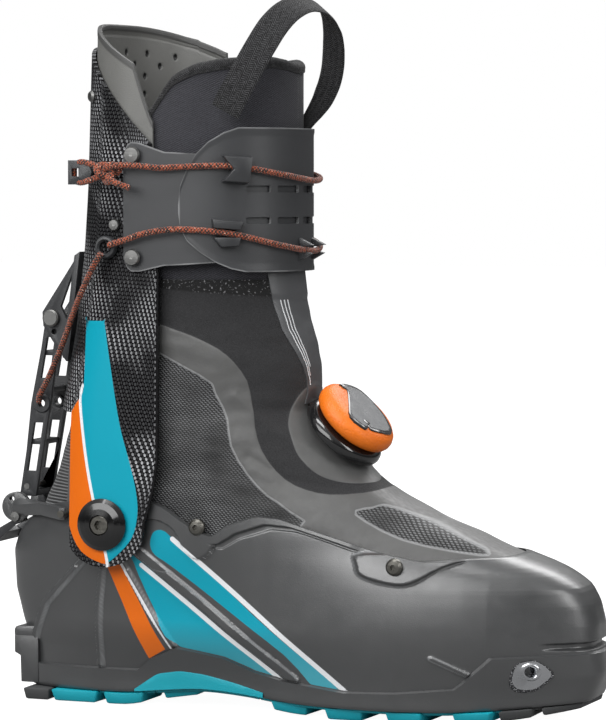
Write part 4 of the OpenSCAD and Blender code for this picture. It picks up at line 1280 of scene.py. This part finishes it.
def add_binding():
    """Folded tape over the liner's top edge."""
    n = 220
    t = ring_angles(n)
    top = soft(shin_point(0.0, t, 0.0)[..., 0], BINDING_Z, 3)
    rows = [shin_point(top + drop, t, -0.35) for drop in (-6.4, -5.2)]
    for a in np.linspace(0, math.pi, 9):
        height = top - 4.2 + TAPE_DEPTH * math.sin(a)
        rows.append(shin_point(height, t, TAPE_DEPTH - (TAPE_DEPTH + 0.5) * math.cos(a)))
    rows = np.array(rows + [shin_point(top + drop, t, 7.5) for drop in (-6.0, -9.0)])
    across = np.repeat(np.linspace(0, 20, len(rows))[:, None], n, 1)
    length = np.tile(t * 48, (len(rows), 1))
    marks = {"across": across, "length": length}
    tape = ring_mesh("liner_tape", rows, paints["binding"], marks, sharp=70, loop=True)
    ride_like(tape, "liner_binding")


def add_footbed():
    n = 160
    t = ring_angles(n)
    edge = LINER_IN + LINER_WALL + 1.9
    rows = []
    for z, inset in ((25.4, 0.4), (26.2, 0.0), (27.4, 0.2), (28.0, 1.2), (27.4, 6.0), (26.8, 13.0)):
        heights = np.full(n, z)
        x = foot_point(heights, t, edge)[..., 0]
        rows.append(foot_point(heights, t, edge + inset + toe_tuck(x, heights)))
    rows = np.array(rows)
    marks = {"across": rows[..., 0], "height": rows[..., 1]}
    bed = ring_mesh("footbed_shaped", rows, paints["footbed"], marks)
    ride_like(bed, "footbed")


STRAP_ROUTE = [(119.4, -45.2, 297.6), (121.6, -45.7, 301.6), (125.7, -45.8, 308.6), (131.4, -44, 319.5),
               (136.3, -40, 330), (140.8, -34, 340), (145.5, -26, 347.4), (150, -15, 351), (155.2, -4, 348.6),
               (157.2, 4, 340), (156, 10, 327.5), (152.8, 14.5, 315.5), (147.2, 17, 304.6),
               (139.6, 18, 294.5), (134.5, 18.5, 287.5)]
# Direction of the strap's width at shares of its length
STRAP_LEAD = [[0, 0.87, 0, -0.5], [0.3, 0.85, -0.05, -0.52], [0.44, 0.72, -0.4, -0.5],
              [0.55, 0.62, -0.65, -0.45], [0.68, 0.85, -0.5, 0.1], [0.85, 0.88, -0.45, -0.1],
              [1, 0.6, -0.8, -0.05]]
STRAP_STEP = 0.7


def add_pull_strap():
    path = even(curve(STRAP_ROUTE, 16), STRAP_STEP)
    t = unit(np.gradient(path, axis=0))
    table = np.array(STRAP_LEAD)
    f = np.linspace(0, 1, len(path))
    lead = np.stack([soft(f, table[:, [0, k]], 0.05) for k in (1, 2, 3)], -1)
    w = unit(lead - t * (lead * t).sum(1, keepdims=True))
    up = np.cross(t, w)
    side = np.linspace(-1, 1, 21)
    thick = 0.75 * (1 - 0.6 * np.abs(side) ** 8)
    flat = path[:, None] + w[:, None] * (side * STRAP_W / 2)[None, :, None]
    outer = flat + up[:, None] * thick[None, :, None]
    inner = flat - up[:, None] * thick[None, :, None]
    length = np.repeat(np.arange(len(path))[:, None] * STRAP_STEP, side.size, 1)
    across = np.repeat((side * STRAP_W / 2)[None, :], len(path), 0)
    strap = sheet_mesh("pull_strap_webbing", outer, inner, paints["webbing"],
                       {"across": across, "length": length}, flip=True)
    ride_like(strap, "pull_strap")


add_liner()
add_binding()
add_footbed()
add_pull_strap()


# ---- Cuff and spoiler ----
CUFF_TEAL = [(46.4, 193.8), (46.6, 194.1), (56.2, 194.3), (56.6, 193.6), (59.5, 174), (64.5, 144),
             (70.2, 123.5), (73.6, 109), (74, 97), (70, 85), (57.5, 73.5), (57, 78), (50, 106.5),
             (46, 128.5), (43.4, 155), (45, 161)]
CUFF_ORANGE = [(42.5, 155), (36.1, 143), (35, 122.6), (34.5, 107.5), (36.4, 92), (43.5, 79), (56.5, 73.2),
               (57, 78), (50, 106.5), (46, 128.5), (43.2, 151)]
CUFF_LINE = [(44.6, 162), (43.2, 154), (46, 128.5), (50, 106.5), (57, 78), (57.6, 72)]
# How much thinner the cuff is on its inside near the yoke's screws
SCREW_ROOM = 0.9
MID_ROW = 75


def cuff_columns():
    """Places across the cuff, closest together where its lower edge drops to the pivots."""
    back, turn, side = np.linspace(0, 0.3, 40), np.linspace(0.3, 0.42, 40), np.linspace(0.42, 1, 90)
    s = np.concatenate([back, turn[1:], side[1:]])
    return np.concatenate([s[::-1], -s[1:]])


def add_cuff():
    s = cuff_columns()
    ss, z = grid(s, cuff_low_z(s), cuff_top_z(s), 190)
    outer = cuff_point(ss, z, 0.0)
    x, zz = side_x(outer), outer[..., 2]
    across = np.broadcast_to(run_along(outer[MID_ROW])[None, :], z.shape)
    front = cuff_point(np.sign(ss), z, 0)[..., 0] - outer[..., 0]
    fields = {"teal": area_depth(x, zz, rounded(CUFF_TEAL, 5)),
              "orange": area_depth(x, zz, rounded(CUFF_ORANGE, 5)),
              "white": 0.75 - line_distance(x, zz, curve(CUFF_LINE, 5)[:, :2])}
    marks = {"across": across, "height": zz, "hem": np.where(np.abs(ss) > 0.5, 1.5 - front, FAR)}
    marks.update({key: np.where(np.abs(ss) > 0.2, depth, FAR) for key, depth in fields.items()})
    film = ramp(np.maximum(marks["teal"], marks["orange"]) + 0.3, 0.5) * 0.25
    hem = ramp(marks["hem"], 0.8) * 0.45
    outer = cuff_point(ss, z, -(film + hem))
    thin = CUFF_WALL - SCREW_ROOM * (1 - ease((z - 125) / 20))
    cuff = sheet_mesh("cuff_laminate", outer, cuff_point(ss, z, thin), paints["carbon"], marks)
    bevel(cuff, 0.45, 2, 55)
    ride_like(cuff, "cuff_shell")


SPOILER_TOP = [[-1, 292], [-0.75, 306], [-0.5, 322], [-0.25, 337], [-0.1, 342.6], [0, 344], [0.2, 344],
               [0.3, 342.6], [0.4, 340.1], [0.5, 336.8], [1, 332.9], [1.3, 330]]
SPOILER_HOLES = [(0.13, 330.2), (0.245, 329.8), (0.385, 328.2), (0.18, 324.2), (0.31, 323.5), (0.235, 318.2),
                 (0.235, 309)]
SPOILER_WING = 1.3
SPOILER_IN = CUFF_WALL + 2.3
HOLE_R = 1.3


def add_spoiler():
    s = np.linspace(SPOILER_WING, -1, 340)
    top = soft(s, SPOILER_TOP, 0.06)
    ss, z = grid(s, 276 + 100 * np.maximum(s - 1, 0), top, 110)
    below = top[None, :] - z
    lip = ridge(np.abs(below - 1.6), 1.5, 0.7, 0.4)
    seam = ridge(np.abs(below - 5.2), 0.5, 0.35, 0.3)
    base = cuff_point(ss, z, SPOILER_IN)
    hole = np.full(z.shape, FAR)
    for at_s, at_z in SPOILER_HOLES:
        at = cuff_point(np.array(at_s), np.array(float(at_z)), SPOILER_IN)
        flat = np.linalg.norm(base[..., :2] - at[:2], axis=-1)
        hole = np.maximum(hole, HOLE_R - np.hypot(flat * 1.3, (z - at_z) * 0.7))
    outer = cuff_point(ss, z, CUFF_WALL + 0.8 - lip * 0.2)
    inner = cuff_point(ss, z, SPOILER_IN + lip - seam - ramp(hole, 0.5) * 0.9)
    marks = {"hole": hole, "lip": np.minimum(below, -FAR)}
    ride_like(sheet_mesh("spoiler_flex", outer, inner, paints["spoiler_grey"], marks), "spoiler")


add_cuff()
add_spoiler()


# ---- Front bands ----
# Lower and upper edge of each band: angle round the shin and height
INNER_BAND = ([[-126, 226], [-123, 221], [-119, 219], [-112, 219], [-90, 222], [-60, 224], [60, 224]],
              [[-126, 276], [-123, 281], [-119, 283], [-112, 282.5], [-90, 278], [-60, 276], [60, 276]])
OUTER_BAND = ([[-84, 248], [-83, 240], [-80, 234], [-74, 228.5], [-66, 223.5], [-58, 220.5],
               [-50, BAND_BOTTOM], [60, BAND_BOTTOM], [112, BAND_BOTTOM], [120, 221], [126, 226]],
              [[-84, 252], [-83, 262], [-80, 270], [-76, 277], [-70, 283], [-62, 287.5],
               [-54, BAND_TOP], [90, BAND_TOP], [112, 287], [120, 284], [126, 278]])
SLOT_ROWS = ((258, 261.5), (242.5, 246))
SLOT_SPANS = ((-50, -34), (-30, -11), (-7, 7), (11, 30), (34, 50))


def band_sheet(name, edges, d, wall, lip):
    low, high = edges
    a0, a1 = low[0][0], low[-1][0]
    a = np.linspace(a0, a1, 220)
    z0, z1 = lookup(a, low), lookup(a, high)
    aa, z = grid(a, z0, z1, 44)
    edge = np.minimum(z - z0[None, :], z1[None, :] - z)
    bead = ridge(edge, 2.2, lip, 0.6)
    outer = band_point(aa, z, d - bead)
    inner = band_point(aa, z, d + wall)
    ends = (a[None, :] - a0) * 0.9 + np.where(a0 < -100, 9, 0)
    marks = {"edge": np.minimum(edge, ends)}
    return sheet_mesh(name, outer, inner, paints["band_grey"], marks, flip=True)


def band_slot(a0, a1, z0, z1):
    """Tool for one rounded slot through a band, between two angles."""
    a = np.linspace(a0, a1, 14)
    step = (z1 - z0) * 0.15
    outer = np.array([band_point(np.clip(a, a0 + trim, a1 - trim), np.full(a.shape, z), -3.0)
                      for z, trim in ((z0, 1.2), (z0 + step, 0.3), (z1 - step, 0.3), (z1, 1.2))])
    inner = outer.copy()
    inner[..., :2] = mix([BAND_CX, 0], outer[..., :2], 0.86)
    return outward(sheet_mesh("slot_tool", outer, inner, None))


def add_bands():
    ride_like(band_sheet("inner_band_strap", INNER_BAND, 2.2, 1.5, 0.0), "inner_band")
    outer = band_sheet("outer_band_strap", OUTER_BAND, 0.2, 1.6, 0.35)
    slots = [band_slot(a0, a1, z0, z1) for z0, z1 in SLOT_ROWS for a0, a1 in SLOT_SPANS]
    cut(outer, slots)
    smooth(outer.data, 40)
    ride_like(outer, "outer_band")


add_bands()


# ---- Outsole ----
def side_point(x, z, lift, side):
    """Point on the foot's side at x and z, lifted off its surface."""
    level = z - rocker(x, z)
    x0, x1 = soft(level, REAR_X, 2), soft(level, FRONT_X, 2)
    t = np.arccos(np.clip((2 * x - x0 - x1) / (x1 - x0), -1, 1)) * side
    return foot_point(level, t, -lift)


def sole_low(x):
    return soft(np.asarray(x, float), TREAD_Z, 4)


def on_sole(points):
    """Place for tread: height 0 follows the tread line and height 1 the sole plate."""
    x, level = points[:, 0], points[:, 2:]
    low = sole_low(x)[:, None]
    return np.c_[points[:, :2], mix(low, low * 0.62 + 5.9, level)]


def lug(x0, x1, y0, y1, skew, material, steps=5):
    """Tread lug between two places along the foot and two across it."""
    xs = np.linspace(x0, x1, steps)
    outline = [(x, y0) for x in xs] + [(x + skew, y1) for x in xs[::-1]]
    return prism("lug", outline, 0, 1, on_sole, material, 0.88, 0.9, 50)


# Where the tread's parts meet along the sole
ARCH_BACK = 74
ARCH_FRONT = 132
TOE_BACK = 257
SKIN_Z = 6.2
HEEL_LUGS = [(20, 45.5), (49, 71)]
ARCH_TOP = [(64, 7.4), (71.5, 12.6), (78.5, 17), (91, 18.8), (104.8, 17.3), (122.8, 14), (138, 10.6)]
FORE_LUGS = [(139, 158.5), (168.5, 188.5), (200.5, 219), (233, 252)]


def add_outsole():
    teal, grey = paints["sole_teal"], paints["sole_grey"]
    rear = [sole_skin(2, ARCH_BACK, teal)]
    for side in (-1, 1):
        rear.append(lug(2.5, 17, 5 * side, 31.5 * side, 0, grey))
        rear += [lug(x0, x1, 6 * side, 31.5 * side, -2, teal) for x0, x1 in HEEL_LUGS]
    ride_like(join("heel_tread", rear), "heel_rubber")
    arch = [sole_skin(ARCH_BACK, ARCH_FRONT, teal)]
    arch += [lug(78, 98, 5 * side, 27.5 * side, 0, teal) for side in (-1, 1)]
    arch += [arch_wrap(side, teal) for side in (-1, 1)]
    ride_like(join("arch_tread", arch), "arch_rubber")
    fore = [sole_skin(ARCH_FRONT, TOE_BACK, teal)]
    for x0, x1 in FORE_LUGS:
        centre = (x0 + x1) / 2
        mid = float(drift(centre))
        reach = float(foot_w(np.array(centre), np.array(6.5))) - 1.2
        fore.append(lug(x0, x1, mid + 6, mid + reach, -3, teal))
        fore.append(lug(x0, x1, mid - reach, mid - 6, 3, teal))
    ride_like(join("forefoot_tread", fore), "forefoot_rubber")
    toe = [sole_skin(TOE_BACK, SOLE_LEN - 3.5, grey), toe_pad(258, 273, grey), toe_pad(277, 294, grey)]
    ride_like(join("toe_tread", toe), "toe_rubber")


def arch_wrap(side, material):
    """Rubber that climbs the sole's side wall under the arch."""
    x = np.linspace(66, 136, 90)
    top = soft(x, ARCH_TOP, 2)
    low = rocker(x, np.full(x.shape, 6.4)) + 6.6
    rows = []
    for share, lift in ((0.0, -0.6), (0.0, 0.5), (0.5, 0.6), (0.92, 0.5), (1.0, 0.2), (1.0, -0.6)):
        rows.append(side_point(x, mix(low, np.maximum(top, low + 0.4), share), LEDGE_OUT + lift, side))
    return outward(add_mesh("wrap", rows, strip_faces(len(rows), len(x), loop=True), material))


def toe_pad(x0, x1, material):
    """Full-width pad under the toe, with a slanting gap to the next one."""
    xs = np.linspace(x0, x1, 9)
    half = foot_w(xs, np.full(xs.shape, 6.5)) * np.sqrt(np.clip(1 - ((xs - 255) / 44.5) ** 2, 0.05, 1)) - 0.8
    mid = drift(xs)
    outline = [(x - 3, m - h) for x, m, h in zip(xs, mid, half)]
    outline += [(x, m + h) for x, m, h in zip(xs[::-1], mid[::-1], half[::-1])]
    return prism("pad", outline, 0, 1, on_sole, material, 0.93, 0.9, 50)


def sole_skin(x0, x1, material):
    """Thin layer of rubber under the sole plate, between two places along the foot."""
    t = even_angles(640)
    ring = foot_point(np.full(t.shape, SKIN_Z), t, 1.4)
    ring = ring[: len(ring) // 2 + 1]
    xs, y, _ = ring[(ring[:, 0] > x0) & (ring[:, 0] < x1)].T
    other = 2 * drift(xs) - y
    low_z = soft(xs, TREAD_Z, 8) * 0.62 + 4.5
    levels = [(low_z + 1.9, 0.0), (low_z + 0.5, 0.0), (low_z, 0.7)]
    rows = [np.c_[xs, y - inset, z] for z, inset in levels]
    rows += [np.c_[xs, other + inset, z] for z, inset in reversed(levels)]
    m, n = len(rows), len(xs)
    faces = strip_faces(m, n, loop=True)
    faces.append([k * n for k in reversed(range(m))])
    faces.append([k * n + n - 1 for k in range(m)])
    return outward(add_mesh("skin", rows, faces, material))


add_outsole()


# ---- Rigid fittings ----
BLOCK_LIP = [(-6.4, 31.2), (-6.4, 34.4), (-5.4, 36), (9, 36.6), (9, 30.6), (-4.6, 30.6)]
BLOCK_CHEEK = [(-6.2, 22.6), (-6.2, 31.4), (7, 32), (7, 7.4), (-2.6, 7.4), (-3.0, 21)]
FAN = [(-9.6, -4.9), (-6.5, 3.5), (-1.5, 5.6), (4, 5.2), (10.4, -1.4), (4.4, -8.0), (-0.8, -10.4),
       (-7.5, -9.7)]
SOCKET_R = 4.9
SOCKET_STEPS = [(4.7, 0.5), (4.3, 1.1), (3.7, 1.45), (3.1, 1.3), (2.7, 0.7), (2.3, -1.6), (1.9, -4.2),
                (0.5, -4.9)]
BLOCK_HALF = 22.5


def add_toe_fitting(side, node):
    """Cast steel plate at the toe's side, with a ringed socket for the binding's pin."""
    a = ring_angles(72)
    x, z = np.array(rounded(FAN, 8)).T
    angle = np.arctan2(z, x)
    order = np.argsort(angle)
    reach = np.interp(a, angle[order], np.hypot(x, z)[order], period=TURN)
    rows = [(mix(SOCKET_R, reach, share), lift)
            for share, lift in ((1.0, -0.8), (1.0, 0.3), (0.95, 0.55), (0.75, 0.55))]
    plate_rows = len(rows)
    rows += [(np.full(a.shape, r), lift) for r, lift in SOCKET_STEPS]
    at_x, at_z = SOCKET_AT
    points = [side_point(at_x + r * np.cos(a), at_z + r * np.sin(a), LEDGE_OUT + lift, side)
              for r, lift in rows]
    m, n = len(points), len(a)
    faces = strip_faces(m, n, wrap=True) + [list(range((m - 1) * n, m * n))]
    piece = add_mesh(node + "_plate", points, faces, paints["toe_steel"], flip=side > 0)
    piece.data.materials.append(paints["chrome"])
    for face in piece.data.polygons:
        face.material_index = int(min(face.vertices) // n >= plate_rows - 1)
    ride_like(piece, node)


def add_heel_block():
    """Tail of the heel that holds the steel fitting."""
    grey = paints["shell_plain"]
    parts = [prism("lip", BLOCK_LIP, -BLOCK_HALF, BLOCK_HALF, along_y, grey, width=0.7)]
    for side in (-1, 1):
        parts.append(prism("cheek", BLOCK_CHEEK, 17.3 * side, BLOCK_HALF * side, along_y, grey))
    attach(join("heel_block", parts), "boot")


DIAL_TILT = math.radians(43.5)
DIAL_OUT = math.radians(-10.3)
KNOB_PROFILE = [(6.3, 8.0), (16.5, 7.7), (19.4, 8.1), (21.0, 9.3), (21.8, 11.2), (21.8, 13.2), (21.0, 15.2),
                (19.3, 16.8), (17.0, 17.6), (13.5, 18.0), (6.3, 18.1)]
BASE_PROFILE = [(3, -0.5), (20.4, -0.5), (21.8, 0.6), (22.2, 2.2), (21.8, 4.0), (20.4, 5.6), (18.6, 6.6),
                (15, 6.9), (3, 6.9)]
INSERT = [(-18, -1), (-13.8, 1), (-5, -8.5), (3.5, -17.4), (12.2, -13.4), (11.3, -9.2), (13.9, -8.6),
          (17.4, 6.2), (8.7, 13.4), (-0.9, 15.4), (-12, 13.6), (-16.8, 7)]
NOTCH = [(7.4, -10), (10.4, -8.4), (9.3, -5.8), (6.5, -7.6)]


def on_dial(points):
    turn = Matrix.Rotation(DIAL_OUT, 3, "Z") @ Matrix.Rotation(DIAL_TILT, 3, "Y")
    return np.asarray(points, float).reshape(-1, 3) @ np.array(turn).T + DIAL_AT


def add_dial():
    ride_like(lathe("dial_ring", BASE_PROFILE, on_dial, paints["dial_black"]), "dial_base")
    ride_like(lathe("dial_grip", KNOB_PROFILE, on_dial, paints["knob_orange"], 120), "dial_knob")
    outline = rounded(INSERT, 3)
    centre = np.mean(outline, axis=0)
    inner = [tuple(centre + (np.array(q) - centre) * 0.9) for q in outline]
    rim = prism("dial_rim", outline, 16.2, 18.35, on_dial, paints["dial_black"], width=0.25)
    face = prism("dial_face", inner, 17.5, 18.6, on_dial, paints["dial_grey"], width=0.3, sharp=18)
    notch = prism("dial_notch", NOTCH, 18.0, 18.75, on_dial, paints["dial_black"], width=0.2)
    ride_like(join("dial_top", [face, rim, notch]), "dial_insert")


HOOK_TOP = [(-63, 275.7), (-48.7, 275.4), (-50.5, 262.7), (-63, 263.7), (-58, 269.6)]
HOOK_LOW = [[(-68, 245), (-53.3, 243.8), (-55, 239.8), (-67.5, 240.8)],
            [(-67.5, 236), (-54.5, 236), (-55.5, 231.9), (-64, 231.4)]]
FANGS = [[(144.8, 235.6), (152.4, 231.9), (145.0, 230.8)], [(144.6, 229.4), (151.8, 227.9), (144.2, 223.6)]]


def band_block(name, outline, side, low, high):
    """Hook on the bands: an outline of angles and heights, between two distances from their face."""
    def place(points):
        return band_point(points[:, 0] * side, points[:, 1], -points[:, 2])
    return prism(name, outline, low, high, place, paints["hard_black"], 1.12, 0.5)


def add_hooks():
    parts = []
    for side in (1, -1):
        parts.append(band_block("hook", HOOK_TOP, side, 0, 6.2))
        parts += [band_block("hook", outline, side, 0, 5.2) for outline in HOOK_LOW]
    ride_like(join("band_hooks", parts), "band_cord_hooks")
    fangs = [prism("fang", outline, y, y + 3.4, along_y, paints["hard_black"], width=0.5)
             for outline in FANGS for y in (-10.4, 7.0)]
    ride_like(join("edge_hooks", fangs), "edge_cord_hooks")


def add_fittings():
    for node in ("heel_catch", "lever_bracket", "lever_frame", "cord_anchor", "heel_insert"):
        softened(node, paints[slot_of(node)], 0.35)
    softened("heel_yoke", paints["shell_plain"], 0.5)
    add_toe_fitting(-1, "toe_insert_lateral")
    add_toe_fitting(1, "toe_insert_medial")
    add_heel_block()
    add_dial()
    add_hooks()


def paint_frame():
    """Gives every CAD node that still shows its own procedural material."""
    for name, obj in frame["nodes"].items():
        if not obj.hide_render:
            obj.data.materials.clear()
            obj.data.materials.append(paints[slot_of(name)])


add_fittings()
paint_frame()
